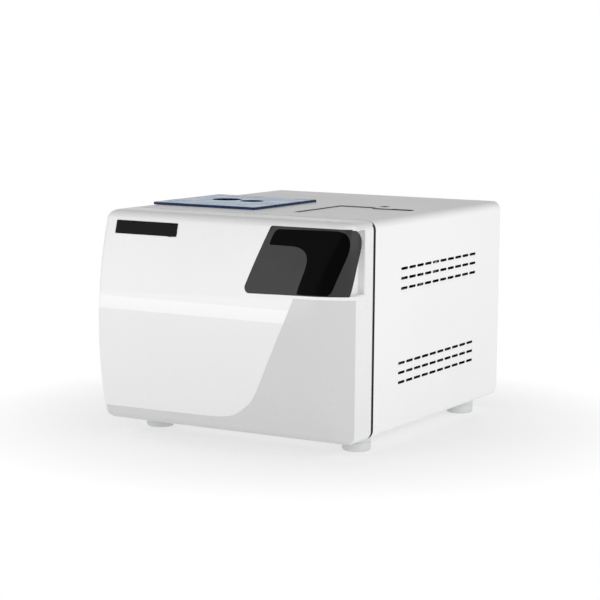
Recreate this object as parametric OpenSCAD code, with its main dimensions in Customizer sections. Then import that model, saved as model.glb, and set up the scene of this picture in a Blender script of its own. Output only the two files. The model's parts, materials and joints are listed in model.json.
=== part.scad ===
// Benchtop steam autoclave, 18 litre class.
// Row frame: +X to the right seen from the front, -Y to the front, +Z up,
// origin on the bench plane under the centre of the machine. Millimetres.
// Inside the modules y runs back from the casing's front edge and z up from its underside.

/* [Casing] */
// Width of the casing and of the door cover
case_w = 480; // [470:1:500]
// Height of the casing without its feet
case_h = 358; // [354:1:380]
// Depth of the casing behind the door seam
case_d = 490; // [488:1:520]
// Radius of the long edges
corner_r = 15; // [8:1:22]
// Thickness of the painted sheet
sheet = 2; // [1.5:0.1:2.2]
// Height of the four feet
foot_h = 26; // [24:1:40]
// Radius of the four feet
foot_r = 24; // [20:1:26]

/* [Door] */
// Gap between the door cover and the casing
cover_gap = 3.5; // [3:0.1:4]
// Furthest reach of the bulged front ahead of the seam
cover_apex = 97; // [92:1:110]
// Radius of the bulge seen from the side
face_r = 590; // [560:10:700]
// Rounding of the cover's top and bottom front edges
brow_r = 18; // [12:1:20]
// Radius with which the front falls back to the right
sweep_r = 300; // [260:10:400]
// Depth of the cover at its right front corner
corner_d = 60; // [58:1:66]
// Depth at which the lens's roll meets the right side
lens_side_d = 43; // [42:1:45]
// Wall of the moulded cover
cover_wall = 3; // [2.5:0.1:3.5]

/* [Chamber] */
// Inner radius of the sterilising chamber
chamber_r = 123.5; // [120:0.5:123.5]
// Depth of the chamber from its flange to the dome
chamber_d = 354; // [330:1:356]
// Wall of the chamber
chamber_wall = 2.5; // [2:0.1:2.5]

/* [Trays] */
// Width of an instrument tray
tray_w = 176; // [160:1:178]
// Length of an instrument tray
tray_l = 290; // [260:1:300]
// Height of a tray's rim
tray_h = 14; // [10:1:18]

/* [Hidden] */
$fn = 64;
eps = 0.01;
rear_out = 18;
seam_y = (cover_apex - case_d - rear_out) / 2;
hx = case_w / 2;
cx = -35;
cz = 168;
flange_r = 146;
wrap_r = 145;
hinge_x = -hx + 13;
hinge_y = -36;
arm_z = [85, 265];
frame_y = 0.8;
frame_t = 3.2;
rear_y = case_d - 5.5;
foot_x = 195;
foot_y = [28, case_d - 62];
tray_z = [-52, -2, 46];
tap_x = 150;
tap_z = [40, 84];
switch_x = 205;
switch_z = 60;
filter_x = 180;
filter_z = 262;
lock_y = 24;
tongue_x = 205;
fan_x = 86;
fan_z = 250;
port_z = cz + 60;
inlet_x = 190;
inlet_z = 52;
stub_x = [-200, -165];
stub_z = 40;
valve_x = -150;
valve_z = 300;
fill_x = -157;
fill_y = 184;
waste_x = -102;
waste_y = 179;
roll_y = 118;
roll_z = 324;
platen_y = 203;
platen_z = 344;
lid_axis_y = 75.5;
lid_top = case_h - 1.6;
lid_axis_z = lid_top - 4;
float_x = -207;
float_y = 200;

// ---------- helpers ----------

// Moves a part from casing coordinates to the row frame.
module place() {
  translate([0, seam_y, foot_h])
    children();
}

// Box between two corners.
module bx(x0, x1, y0, y1, z0, z1) {
  translate([x0, y0, z0])
    cube([x1 - x0, y1 - y0, z1 - z0]);
}

// Round bars along each axis.
module rod_x(r, x0, x1, y, z) {
  translate([x0, y, z])
    rotate([0, 90, 0])
      cylinder(r = r, h = x1 - x0);
}

module rod_y(r, y0, y1, x, z) {
  translate([x, y1, z])
    rotate([90, 0, 0])
      cylinder(r = r, h = y1 - y0);
}

module rod_z(r, z0, z1, x, y) {
  translate([x, y, z0])
    cylinder(r = r, h = z1 - z0);
}

// Flat shapes swept along an axis: (x, z) along Y and (y, z) along X.
module slab_y(y0, y1) {
  translate([0, y1, 0])
    rotate([90, 0, 0])
      linear_extrude(height = y1 - y0)
        children();
}

module slab_x(x0, x1) {
  translate([x0, 0, 0])
    rotate([90, 0, 90])
      linear_extrude(height = x1 - x0)
        children();
}

// Shapes turned about an axis along Y through (x, z), drawn as (radius, y).
module turned_y(x, z) {
  translate([x, 0, z])
    rotate([-90, 0, 0])
      rotate_extrude($fn = 128)
        children();
}

function arc(cx0, cy0, r, a0, a1, n) =
  [for (i = [0:n]) let(a = a0 + (a1 - a0) * i / n) [cx0 + r * cos(a), cy0 + r * sin(a)]];

function round_rect(x0, x1, y0, y1, r, n = 6) = concat(
  arc(x1 - r, y1 - r, r, 0, 90, n),
  arc(x0 + r, y1 - r, r, 90, 180, n),
  arc(x0 + r, y0 + r, r, 180, 270, n),
  arc(x1 - r, y0 + r, r, 270, 360, n));

function hexagon(x, y, r) = [for (i = [0:5]) [x + r * cos(60 * i), y + r * sin(60 * i)]];

// Cross-section of the casing, t inside its outer skin.
module outline(t) {
  polygon(round_rect(-hx + t, hx - t, t, case_h - t, max(corner_r - t, 1)));
}

// ---------- door cover surface ----------

// Side view of the cover, t inside its outer skin: (y, z).
function side_pts(t, rear) =
  let(
    r0 = face_r - t,
    rb = brow_r - t,
    yc = face_r - cover_apex,
    zb = t + rb - cz,
    zt = case_h - t - rb - cz,
    yb = yc - sqrt(pow(r0 - rb, 2) - zb * zb),
    yt = yc - sqrt(pow(r0 - rb, 2) - zt * zt),
    ab = 180 + asin(-zb / (r0 - rb)),
    at = 180 - asin(zt / (r0 - rb)))
  concat(
    [[rear, t]],
    arc(yb, cz + zb, rb, 270, ab, 5),
    arc(yc, cz, r0, ab - 0.8, at + 0.8, 30),
    arc(yt, cz + zt, rb, at, 90, 5),
    [[rear, case_h - t]]);

// Plan view of the cover, t inside its outer skin: (x, y).
function plan_pts(t, rear) =
  let(
    sag = cover_apex - corner_d,
    run = sqrt(2 * sweep_r * sag - sag * sag),
    xs = hx - run,
    r0 = sweep_r - t,
    a1 = -90 + asin((hx - t - xs) / r0))
  concat(
    [[-hx + t, rear], [-hx + t, 7 + t - cover_apex], [-hx + 2 + t, 2 + t - cover_apex],
     [-hx + 7 + t, t - cover_apex]],
    arc(xs, sweep_r - cover_apex, r0, -90, a1, 14),
    [[hx - t, rear]]);

// Solid with the shape of the cover, t inside its outer skin, open side at y = rear.
module cover_solid(t, rear = -cover_gap) {
  intersection() {
    slab_x(-hx + t, hx - t)
      polygon(side_pts(t, rear));
    translate([0, 0, t])
      linear_extrude(height = case_h - 2 * t)
        polygon(plan_pts(t, rear));
    slab_y(-cover_apex - 5, rear)
      outline(t);
  }
}

// Cuts the cover's right corner to the lens's larger roll, which meets the side at y = -lens_side_d.
module corner_cut(t) {
  run = sqrt(2 * sweep_r * (cover_apex - corner_d) - pow(cover_apex - corner_d, 2));
  back = sweep_r - cover_apex + lens_side_d;
  roll = (pow(sweep_r, 2) - pow(run, 2) - pow(back, 2)) / (2 * (sweep_r - run));
  difference() {
    bx(hx - roll + (roll - t) * (run - roll) / (sweep_r - roll), hx + 1, -120, -lens_side_d, 230, 352);
    rod_z(roll - t, 229, 353, hx - roll, -lens_side_d);
  }
}

// Solid behind the lens, t inside its outer skin.
module lens_solid(t, rear) {
  difference() {
    cover_solid(t, rear);
    corner_cut(t);
  }
}

// Plate of the lens, 2 thick.
module lens_skin() {
  difference() {
    lens_solid(0, -lens_side_d);
    lens_solid(2, -30);
  }
}

// Skin of the cover between two depths.
module cover_skin(t0, t1) {
  difference() {
    cover_solid(t0, -40);
    cover_solid(t1, -30);
  }
}

// Outlines on the front, seen as (x, z).
function lens_pts(g) = [
  [150, 240 - g], [55 - g, 237.5 - g], [50.5 - g, 241 - g], [48.5 - g, 247.5],
  [85.5 - g, 347.5 + g], [222, 347.9 + g], [228.6, 347.9 + g], [233 + g, 346.6 + g],
  [236.3 + g, 344.2], [238.4 + g, 339.2], [239.2 + g, 334.5], [239.7 + g, 326.2],
  [239.4 + g, 316.8], [238.8 + g, 307.5], [236.6 + g, 287], [234.2 + g, 268],
  [230.9 + g, 249], [229 + g, 240.2 - g]];

function window_pts(g) = [
  [86.6 - g, 317.3 - g], [90.1 - g, 329.5], [94 - g, 338.5 + g], [98.9, 342.7 + g],
  [158, 343.9 + g], [212, 344.6 + g], [222.3, 341.3 + g], [227.9 + g, 333.6], [229.4 + g, 324.1],
  [227.9 + g, 311.4], [220 + g, 289], [209.1 + g, 260.1], [204.9 + g, 248.8], [201 + g, 243.4],
  [197.7, 241.6 - g], [146.1 - g, 241.6 - g], [150.1 - g, 257.2], [155.8 - g, 273.4],
  [159.5 - g, 287.9], [160.1 - g, 297.3], [157.9 - g, 305 - g], [152.6 - g, 311 - g],
  [142.6 - g, 315.8 - g], [131.4, 317 - g]];

fascia_line = [
  [141.3, 235], [135.5, 218.8], [124.8, 192.3], [113, 165.4], [101.2, 138.2], [88.1, 110.5],
  [74.7, 82.4], [66.8, 68.1], [57.4, 55.2], [45, 45.5], [32, 36], [18, 29.5], [-3, 26.2],
  [-27, 25], [-75, 24.5], [-120, 24]];

function fascia_pts(g) = concat(
  [for (p = fascia_line) [p[0] + g, p[1] - g]],
  [[-hx + 2 + g, 23.5 - g], [-hx + 2 + g, -1], [hx - 2 - g, -1], [hx - 2 - g, 235 - g]]);

badge_pts = [[-216, 341.3], [-93, 341.3], [-93, 319.3], [-216, 319.3]];

// ---------- casing ----------

module vent_slots() {
  for (bank = [[105.3, [271.7, 255.4, 238.6]], [99.3, [113.6, 97.4, 81]]])
    for (z = bank[1])
      for (i = [0:9])
        translate([bank[0] + 29.8 * i, z])
          polygon(round_rect(-12.25, 12.25, -2.3, 2.3, 2.2, 2));
}

module case_shell() {
  color([0.93, 0.93, 0.93])
    place()
      difference() {
        union() {
          slab_y(0, case_d)
            difference() {
              outline(0);
              outline(sheet);
            }
          for (y = [frame_y + frame_t, rear_y - 1.5])
            slab_y(y, y + 1.5)
              difference() {
                outline(1);
                outline(15);
              }
        }
        slab_x(-hx - 1, hx + 1)
          vent_slots();
        bx(-226, -34, 68, 274, case_h - 4, case_h + 1);
        bx(46, 200.5, 68, 221.5, case_h - 4, case_h + 1);
        bx(46, 117.5, 221, 237, case_h - 4, case_h + 1);
        bx(115, 129, 250, 268, case_h - 4, case_h + 1);
        bx(155, 195, 221, 226.5, case_h - 4, case_h + 1);
        bx(-170, 170, 70, case_d - 70, -1, 4);
        for (x = [-foot_x, foot_x])
          for (y = foot_y)
            rod_z(2.7, -1, 4, x, y);
        screw_spots()
          rod_y(1.65, -4, 8, 0, 0);
      }
}

// Screw positions round the rear panel and the front frame; y = 0 is the head's seat.
module screw_spots() {
  for (x = [-231.5, 231.5])
    for (z = [30, 178, 326])
      translate([x, rear_y + 2, z])
        rotate([0, 0, 180])
          children();
  for (x = [-110, 110])
    for (z = [8.5, case_h - 8.5]) {
      translate([x, rear_y + 2, z])
        rotate([0, 0, 180])
          children();
      translate([x, frame_y, z])
        children();
    }
  for (z = [40, 318])
    translate([231.5, frame_y, z])
      children();
}

module case_screws() {
  color([0.75, 0.76, 0.78])
    place()
      screw_spots() {
        difference() {
          union() {
            rod_y(3.4, -1.8, 0, 0, 0);
            rod_y(1.6, -0.1, 7.5, 0, 0);
          }
          bx(-2.2, 2.2, -2, -1, -0.45, 0.45);
          bx(-0.45, 0.45, -2, -1, -2.2, 2.2);
        }
      }
}

module base_tray() {
  color([0.72, 0.74, 0.76])
    place()
      difference() {
        union() {
          bx(-224, 224, 10, case_d - 12, sheet, sheet + 3);
          bx(-224, 224, 10, 12, sheet + 2, 18);
          bx(-224, 224, case_d - 14, case_d - 12, sheet + 2, 18);
        }
        for (x = [-foot_x, foot_x])
          for (y = foot_y)
            rod_z(2.7, 0, 6, x, y);
        for (x = [-120:60:120])
          slab_zone(x);
      }
}

// Drain slots in the base under the chamber.
module slab_zone(x) {
  translate([0, 0, 1])
    linear_extrude(height = 6)
      polygon(round_rect(x - 4, x + 4, 170, 260, 3.9, 4));
}

module feet() {
  color([0.86, 0.87, 0.88])
    place()
      for (x = [-foot_x, foot_x])
        for (y = foot_y)
          translate([x, y, -foot_h])
            rotate_extrude()
              polygon([[2.7, foot_h], [foot_r, foot_h], [foot_r, foot_h - 9], [foot_r - 1, foot_h - 10],
                [foot_r - 1, foot_h - 11], [foot_r, foot_h - 12], [foot_r, 3],
                [foot_r - 2, 0], [9, 0], [9, foot_h - 10], [2.7, foot_h - 10]]);
}

module foot_screws() {
  color([0.75, 0.76, 0.78])
    place()
      for (x = [-foot_x, foot_x])
        for (y = foot_y) {
          difference() {
            union() {
              rod_z(5, -14, -10, x, y);
              rod_z(2.5, -10.1, 12, x, y);
            }
            translate([0, 0, -15])
              linear_extrude(height = 3)
                polygon(hexagon(x, y, 2.3));
          }
          difference() {
            translate([0, 0, sheet + 3])
              linear_extrude(height = 4)
                polygon(hexagon(x, y, 4.6));
            rod_z(2.55, 0, 12, x, y);
          }
        }
}

module front_frame() {
  color([0.9, 0.9, 0.9])
    place()
      difference() {
        slab_y(frame_y, frame_y + frame_t)
          outline(sheet + 0.2);
        rod_y(flange_r + 1.5, -2, 8, cx, cz);
        bx(202, 217.5, -1, 8, cz - 17, cz + 17);
        for (z = tap_z)
          rod_y(7.1, -2, 8, tap_x, z);
        rod_y(12.1, -2, 8, filter_x, filter_z);
        bx(switch_x - 10.2, switch_x + 10.2, -1, 8, switch_z - 15.2, switch_z + 15.2);
        screw_spots()
          rod_y(1.65, -4, 8, 0, 0);
      }
}

module fan_grille() {
  for (i = [-4:4])
    let(dz = 9 * i, w = sqrt(42 * 42 - dz * dz))
      polygon(round_rect(fan_x - w, fan_x + w, fan_z + dz - 2.6, fan_z + dz + 2.6, 2.5, 4));
}

module rear_panel() {
  color([0.9, 0.9, 0.9])
    place()
      difference() {
        slab_y(rear_y, rear_y + 2)
          outline(sheet + 0.2);
        slab_y(rear_y - 1, rear_y + 3) {
          fan_grille();
          for (i = [0:7])
            polygon(round_rect(-120, -40, 60 + 12 * i, 65 + 12 * i, 2.4, 4));
        }
        bx(inlet_x - 14, inlet_x + 14, rear_y - 1, rear_y + 3, inlet_z - 12, inlet_z + 12);
        for (x = stub_x)
          rod_y(5.1, rear_y - 1, rear_y + 3, x, stub_z);
        rod_y(7.1, rear_y - 1, rear_y + 3, valve_x, valve_z);
        screw_spots()
          rod_y(1.65, -1, 3, 0, 0);
      }
}

// ---------- pressure chamber ----------

function dome(y0, rise, r0, n) = [for (i = [0:n]) let(r = r0 * (1 - i / n)) [r, y0 + rise * (1 - pow(r / r0, 2))]];

module chamber_vessel() {
  r1 = chamber_r + chamber_wall;
  color([0.78, 0.79, 0.8])
    place()
      difference() {
        union() {
          turned_y(cx, cz)
            polygon(concat(
              [[chamber_r, -4], [flange_r, -4], [flange_r, 6], [r1, 6], [r1, chamber_d]],
              dome(chamber_d, 16, r1, 8),
              [[0, chamber_d + 12]],
              [for (i = [7:-1:0]) dome(chamber_d - 4, 16, chamber_r, 8)[i]]));
          rod_y(6, chamber_d + 2, chamber_d + 38, cx, port_z);
          rod_y(6, chamber_d + 2, chamber_d + 38, cx + 80, port_z);
          rod_z(6, cz - 138, cz - chamber_r - 1, cx, chamber_d - 20);
        }
        rod_y(4, chamber_d - 10, chamber_d + 39, cx, port_z);
        rod_y(4, chamber_d - 10, chamber_d + 39, cx + 80, port_z);
        rod_z(4, cz - 139, cz - chamber_r + 2, cx, chamber_d - 20);
      }
}

module band_heaters() {
  r1 = chamber_r + chamber_wall + 0.1;
  color([0.6, 0.58, 0.5])
    place()
      for (y = [50, 150, 250])
        difference() {
          union() {
            turned_y(cx, cz)
              translate([r1, y])
                square([2.6, 60]);
            bx(cx - 6, cx + 6, y + 10, y + 50, cz + r1 + 1, cz + r1 + 3.4);
          }
          rod_y(r1, y - 1, y + 61, cx, cz);
        }
}

module chamber_insulation() {
  color([0.86, 0.84, 0.74])
    place()
      difference() {
        turned_y(cx, cz)
          polygon([[130.5, 10], [wrap_r, 10], [wrap_r, chamber_d + 29], [0, chamber_d + 29],
            [0, chamber_d + 18], [130.5, chamber_d + 18]]);
        for (x = [cx, cx + 80])
          rod_y(7, chamber_d + 10, chamber_d + 39, x, port_z);
        rod_z(7, cz - 150, cz - 125, cx, chamber_d - 20);
      }
}

module chamber_cradle() {
  color([0.66, 0.68, 0.7])
    place()
      for (y = [60, 290])
        difference() {
          union() {
            bx(cx - 112, cx + 112, y, y + 4, sheet + 3, 92);
            bx(cx - 112, cx + 112, y, y + 24, sheet + 3, sheet + 7);
          }
          rod_y(wrap_r + 0.1, y - 1, y + 26, cx, cz);
          for (x = [cx - 80, cx + 80])
            rod_z(3, 0, 12, x, y + 14);
        }
}

// ---------- trays ----------

module tray(z) {
  w = tray_w / 2;
  place()
    translate([cx, 14, cz + z]) {
      difference() {
        bx(-w, w, 0, tray_l, 0, tray_h);
        bx(-w + 1.2, w - 1.2, 1.2, tray_l - 1.2, 1.2, tray_h + 1);
        for (i = [-3.5:3.5])
          for (j = [0:11])
            rod_z(4, -1, 3, 21 * i, 24 + 22 * j);
        rod_y(5.5, -1, 3, 0, tray_h + 1);
      }
      bx(-40, 40, -5, 0.5, tray_h - 3.2, tray_h - 2);
    }
}

module tray_bottom() {
  color([0.82, 0.83, 0.84])
    tray(tray_z[0]);
}

module tray_middle() {
  color([0.82, 0.83, 0.84])
    tray(tray_z[1]);
}

module tray_top() {
  color([0.82, 0.83, 0.84])
    tray(tray_z[2]);
}

module tray_rack() {
  w = tray_w / 2 + 1;
  foot_r0 = chamber_r - 3.15;
  color([0.76, 0.77, 0.78])
    place()
      translate([cx, 0, cz])
        for (s = [-1, 1]) {
          for (z = tray_z) {
            bx(s > 0 ? w - 6 : -w - 1.5, s > 0 ? w + 1.5 : -w + 6, 18, 300, z - 1.7, z - 0.2);
            bx(s > 0 ? w : -w - 1.5, s > 0 ? w + 1.5 : -w, 18, 300, z - 1, z + 6);
          }
          for (y = [30, 160, 282])
            bx(s > 0 ? w : -w - 3, s > 0 ? w + 3 : -w, y, y + 8, -75, 70);
          rod_y(3, 18, 300, s * 92, -sqrt(foot_r0 * foot_r0 - 92 * 92) + 1);
          for (y = [34, 286])
            rod_x(2.5, s > 0 ? -1 : -w - 1, s > 0 ? w + 1 : 1, y, -66);
        }
}

// ---------- water tank ----------

module water_tank() {
  r1 = wrap_r + 0.2;
  top = case_h - 5;
  color([0.9, 0.92, 0.94])
    place()
      difference() {
        bx(-232, -30, 66, 276, sheet + 3.2, top);
        rod_y(r1, 60, 290, cx, cz);
        bx(cx - r1, -20, 60, 290, 0, cz);
        difference() {
          bx(-229.5, -128.5, 68.5, 273.5, sheet + 6, top + 5);
          rod_y(r1 + 2.5, 60, 290, cx, cz);
          bx(cx - r1 - 2.5, -20, 60, 290, 0, cz);
        }
        difference() {
          bx(-126, -32.5, 68.5, 273.5, cz, top + 5);
          rod_y(r1 + 2.5, 60, 290, cx, cz);
        }
        rod_y(3, 268, 290, -208, 20);
      }
}

module tank_lid() {
  color([0.45, 0.68, 0.88, 0.6])
    place()
      difference() {
        union() {
          translate([0, 0, case_h])
            linear_extrude(height = 4.5)
              polygon(round_rect(-234, -26, 62, 280, 4));
          bx(-225.5, -34.5, 68.5, 273.5, case_h - 4, case_h + 0.5);
        }
        bx(-223.5, -36.5, 70.5, 271.5, case_h - 5, case_h);
        rod_z(26, case_h - 6, case_h + 6, fill_x, fill_y);
        rod_z(21, case_h - 6, case_h + 6, waste_x, waste_y);
      }
}

module float_stem() {
  color([0.85, 0.85, 0.86])
    place() {
      rod_z(3, sheet + 6.1, 260, float_x, float_y);
      rod_z(8, sheet + 6.1, 12, float_x, float_y);
      rod_z(5, 256, 260, float_x, float_y);
    }
}

module water_float() {
  color([0.95, 0.95, 0.92])
    place()
      difference() {
        rod_z(14, 30, 52, float_x, float_y);
        rod_z(3.06, 29, 53, float_x, float_y);
      }
}

// ---------- printer ----------

module printer_housing() {
  top = case_h - sheet - 0.1;
  color([0.25, 0.26, 0.28])
    place() {
      difference() {
        union() {
          bx(50, 206, 64.5, 223.5, 296, top);
          bx(43.5, 120, 64.5, 240.5, 338, top);
          bx(112, 132, 238, 271, 338, top);
          bx(152, 206, 220, 229, 330, top);
        }
        bx(52, 204, 66.5, 221.5, 298, top + 1);
        bx(45.5, 118, 66.5, 238.5, 341, top + 1);
        bx(115, 129, 250, 268, 341, top + 1);
        bx(155, 195, 219, 226.5, 333, top + 1);
      }
      difference() {
        union() {
          bx(150, 153, 90, 212, 297, 338);
          rod_x(6, 152, 204.5, roll_y, roll_z);
          bx(154, 202, 190, 214, 297, 336);
        }
        rod_x(6.6, 153, 203, platen_y, platen_z);
      }
      bx(56, 140, 88, 200, 297, 325);
      rod_x(1.5, 44.5, 58.5, lid_axis_y, lid_axis_z);
      rod_x(1.5, 194.5, 205, lid_axis_y, lid_axis_z);
      for (x = [[151, 156], [200, 204.5]])
        difference() {
          bx(x[0], x[1], platen_y - 5, platen_y + 5, 334, platen_z + 4);
          rod_x(2.05, x[0] - 1, x[1] + 1, platen_y, platen_z);
        }
    }
}

module printer_lid() {
  color([0.91, 0.91, 0.91])
    place()
      difference() {
        union() {
          bx(46.5, 200, 69.2, 221, lid_top - 2.4, lid_top);
          bx(46.5, 117, 200, 236.5, lid_top - 2.4, lid_top);
          for (x = [[54, 58], [195, 199]])
            bx(x[0], x[1], lid_axis_y - 3, lid_axis_y + 3, lid_axis_z - 3, lid_top - 1);
          bx(75, 140, 205, 208, lid_top - 6, lid_top - 1);
        }
        rod_x(1.56, 50, 202, lid_axis_y, lid_axis_z);
      }
}

module paper_roll() {
  color([0.96, 0.96, 0.94])
    place()
      difference() {
        rod_x(20, 156, 199, roll_y, roll_z);
        rod_x(6.06, 150, 202, roll_y, roll_z);
      }
}

module platen_roller() {
  color([0.16, 0.16, 0.17])
    place() {
      rod_x(6, 157, 199, platen_y, platen_z);
      rod_x(2, 151.5, 204, platen_y, platen_z);
    }
}

// ---------- machinery ----------

module vacuum_pump() {
  color([0.7, 0.71, 0.73])
    place()
      difference() {
        union() {
          bx(144, 212, 186, 240, sheet + 3, 22);
          bx(150, 206, 190, 236, 20, 84);
          rod_z(22, 80, 96, 178, 213);
          for (i = [0:4])
            bx(146, 210, 194 + 9 * i, 197 + 9 * i, 26, 78);
          rod_y(6, 230, 250, 160, 50);
        }
        rod_y(3, 230, 251, 160, 50);
        rod_y(5.2, 180, 215, 178, 48);
        for (x = [148, 208])
          rod_z(2.2, 0, 30, x, 213);
      }
}

module pump_motor() {
  color([0.3, 0.32, 0.34])
    place() {
      rod_y(30, 84, 178, 178, 48);
      rod_y(22, 177, 185.8, 178, 48);
      rod_y(5, 185, 210, 178, 48);
      rod_y(24, 76, 85, 178, 48);
      bx(150, 206, 96, 110, sheet + 3.1, 30);
      bx(150, 206, 152, 166, sheet + 3.1, 30);
    }
}

module solenoid_valves() {
  color([0.2, 0.21, 0.24])
    place() {
      bx(-224, -112, 436, 464, sheet + 3, 26);
      for (i = [0:2])
        translate([-208 + 38 * i, 450, 26.1]) {
          cylinder(r = 7, h = 12);
          translate([-13, -15, 12])
            cube([26, 30, 28]);
          cylinder(r = 5, h = 46);
        }
      for (i = [0:2])
        rod_y(4, 463, 474, -208 + 38 * i, 16);
    }
}

module steam_generator() {
  color([0.74, 0.74, 0.72])
    place() {
      rod_z(34, sheet + 11, 148, cx, 430);
      rod_z(40, sheet + 3, sheet + 12, cx, 430);
      rod_z(6, 147, 156, cx, 430);
      for (z = [30, 80, 130])
        rod_z(35.5, z, z + 8, cx, 430);
    }
}

module condenser() {
  color([0.8, 0.72, 0.6])
    place() {
      for (i = [0:12])
        bx(24, 148, 404, 448, 194 + 9 * i, 194.9 + 9 * i);
      for (x = [45, 86, 127])
        for (y = [415, 437])
          rod_z(4.5, 190, 306, x, y);
      for (z = [190, 303])
        bx(24, 148, 404, 448, z - 2, z + 1);
      rod_y(6, 394, 405, cx + 80, port_z);
      rod_z(5, 180, 190, 140, 425);
      bx(26, 30, 408, 444, sheet + 3, 190);
      bx(142, 146, 434, 444, sheet + 3, 190);
    }
}

module fan_frame() {
  color([0.15, 0.15, 0.16])
    place()
      difference() {
        union() {
          difference() {
            bx(fan_x - 46, fan_x + 46, rear_y - 26, rear_y - 1.6, fan_z - 46, fan_z + 46);
            rod_y(43.5, rear_y - 28, rear_y, fan_x, fan_z);
          }
          rod_y(16, rear_y - 5, rear_y - 1.6, fan_x, fan_z);
          for (a = [45:90:315])
            translate([fan_x, 0, fan_z])
              rotate([0, a, 0])
                bx(14, 45, rear_y - 4.5, rear_y - 1.6, -2, 2);
        }
        rod_y(2.05, rear_y - 6, rear_y, fan_x, fan_z);
        for (x = [-41, 41])
          for (z = [-41, 41])
            rod_y(2.2, rear_y - 30, rear_y, fan_x + x, fan_z + z);
      }
}

module fan_rotor() {
  color([0.2, 0.2, 0.21])
    place() {
      rod_y(17, rear_y - 23, rear_y - 7, fan_x, fan_z);
      rod_y(2, rear_y - 8, rear_y - 2, fan_x, fan_z);
      for (i = [0:6])
        translate([fan_x, rear_y - 15, fan_z])
          rotate([0, 360 / 7 * i, 0])
            rotate([38, 0, 0])
              translate([15, -9, -0.8])
                cube([26.5, 18, 1.6]);
    }
}

module main_board() {
  color([0.1, 0.35, 0.22])
    place() {
      bx(226, 228, 110, 400, 128, 226);
      bx(196, 226.1, 300, 356, 136, 190);
      bx(200, 226.1, 232, 288, 140, 172);
      for (i = [0:5])
        bx(212, 226.1, 126 + 16 * i, 138 + 16 * i, 136, 152);
      for (i = [0:3])
        rod_x(8, 200, 226.1, 140 + 22 * i, 190);
      for (y = [118, 392])
        for (z = [134, 220])
          rod_x(3, 227.9, hx - sheet, y, z);
    }
}

module power_inlet() {
  color([0.12, 0.12, 0.13])
    place()
      difference() {
        union() {
          bx(inlet_x - 13.8, inlet_x + 13.8, rear_y - 24, rear_y + 2, inlet_z - 11.8, inlet_z + 11.8);
          slab_y(rear_y + 2, rear_y + 5)
            polygon(round_rect(inlet_x - 24, inlet_x + 24, inlet_z - 14, inlet_z + 14, 3));
        }
        bx(inlet_x - 11.5, inlet_x + 11.5, rear_y - 14, rear_y + 6, inlet_z - 8.5, inlet_z + 8.5);
        for (x = [-20, 20])
          rod_y(1.7, rear_y, rear_y + 6, inlet_x + x, inlet_z);
      }
}

module safety_valve() {
  color([0.8, 0.66, 0.35])
    place()
      difference() {
        union() {
          rod_y(7, rear_y - 30, rear_y + 3, valve_x, valve_z);
          slab_y(rear_y + 2, rear_y + 8)
            polygon(hexagon(valve_x, valve_z, 11));
          rod_y(8, rear_y + 7.9, rear_y + 11, valve_x, valve_z);
        }
        rod_y(2.05, rear_y - 10, rear_y + 12, valve_x, valve_z);
      }
}

module safety_ring() {
  color([0.78, 0.79, 0.8])
    place() {
      rod_y(2, rear_y - 4, rear_y + 15, valve_x, valve_z);
      translate([valve_x, rear_y + 13.2, valve_z - 8.5])
        rotate([90, 0, 0])
          rotate_extrude()
            translate([8.5, 0])
              circle(r = 1.2, $fn = 24);
    }
}

module outlet_stubs() {
  color([0.8, 0.66, 0.35])
    place()
      for (x = stub_x)
        difference() {
          union() {
            rod_y(5, rear_y - 12, rear_y + 3, x, stub_z);
            slab_y(rear_y + 2, rear_y + 6.5)
              polygon(hexagon(x, stub_z, 9));
            rod_y(4, rear_y + 6, case_d + rear_out, x, stub_z);
          }
          rod_y(2.5, rear_y - 13, case_d + rear_out + 1, x, stub_z);
        }
}

module hoses() {
  color([0.75, 0.45, 0.3])
    place() {
      rod_z(4, 156.1, 214, cx, 430);
      translate([cx, 416, 214])
        rotate([90, 0, 90])
          rotate_extrude(angle = 90)
            translate([14, 0])
              circle(r = 4, $fn = 32);
      rod_y(4, 392.1, 416, cx, port_z);
      rod_z(4, 62, 179.9, 140, 425);
      translate([140, 411, 62])
        rotate([90, 0, 90])
          rotate_extrude(angle = -90)
            translate([14, 0])
              circle(r = 4, $fn = 32);
      rod_y(4, 380, 411, 140, 48);
      rod_y(3.9, 276.1, 435.9, -208, 20);
    }
}

// ---------- controls behind the door ----------

module air_filter() {
  color([0.88, 0.9, 0.92])
    place() {
      rod_y(12, frame_y - 1, 24, filter_x, filter_z);
      rod_y(25, -7, frame_y, filter_x, filter_z);
      rod_y(22, -18, -6.9, filter_x, filter_z);
      for (i = [0:11])
        translate([filter_x, 0, filter_z])
          rotate([0, 30 * i, 0])
            bx(20, 26, -7, frame_y, -1.5, 1.5);
    }
}

module drain_taps() {
  color([0.72, 0.72, 0.7])
    place()
      for (z = tap_z) {
        rod_y(7, -12, 44, tap_x, z);
        slab_y(-4, frame_y)
          polygon(hexagon(tap_x, z, 10));
        rod_y(3, -27, -11, tap_x, z);
        rod_z(5, z - 16, z, tap_x, 34);
      }
}

module tap_knob(z) {
  place()
    difference() {
      union() {
        rod_y(11, -30, -13, tap_x, z);
        bx(tap_x - 18, tap_x + 11, -28, -16, z - 4, z + 4);
      }
      rod_y(3.05, -28, -12, tap_x, z);
    }
}

module tap_knob_clean() {
  color([0.2, 0.45, 0.75])
    tap_knob(tap_z[1]);
}

module tap_knob_used() {
  color([0.45, 0.47, 0.5])
    tap_knob(tap_z[0]);
}

module rocker_frame() {
  color([0.1, 0.1, 0.11])
    place()
      difference() {
        union() {
          bx(switch_x - 12, switch_x + 12, -1.2, frame_y, switch_z - 17, switch_z + 17);
          bx(switch_x - 10, switch_x + 10, frame_y - 0.1, 26, switch_z - 15, switch_z + 15);
        }
        bx(switch_x - 8, switch_x + 8, -3, 16, switch_z - 13, switch_z + 13);
        rod_x(1.55, switch_x - 9.5, switch_x + 9.5, 3, switch_z);
      }
}

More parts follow.
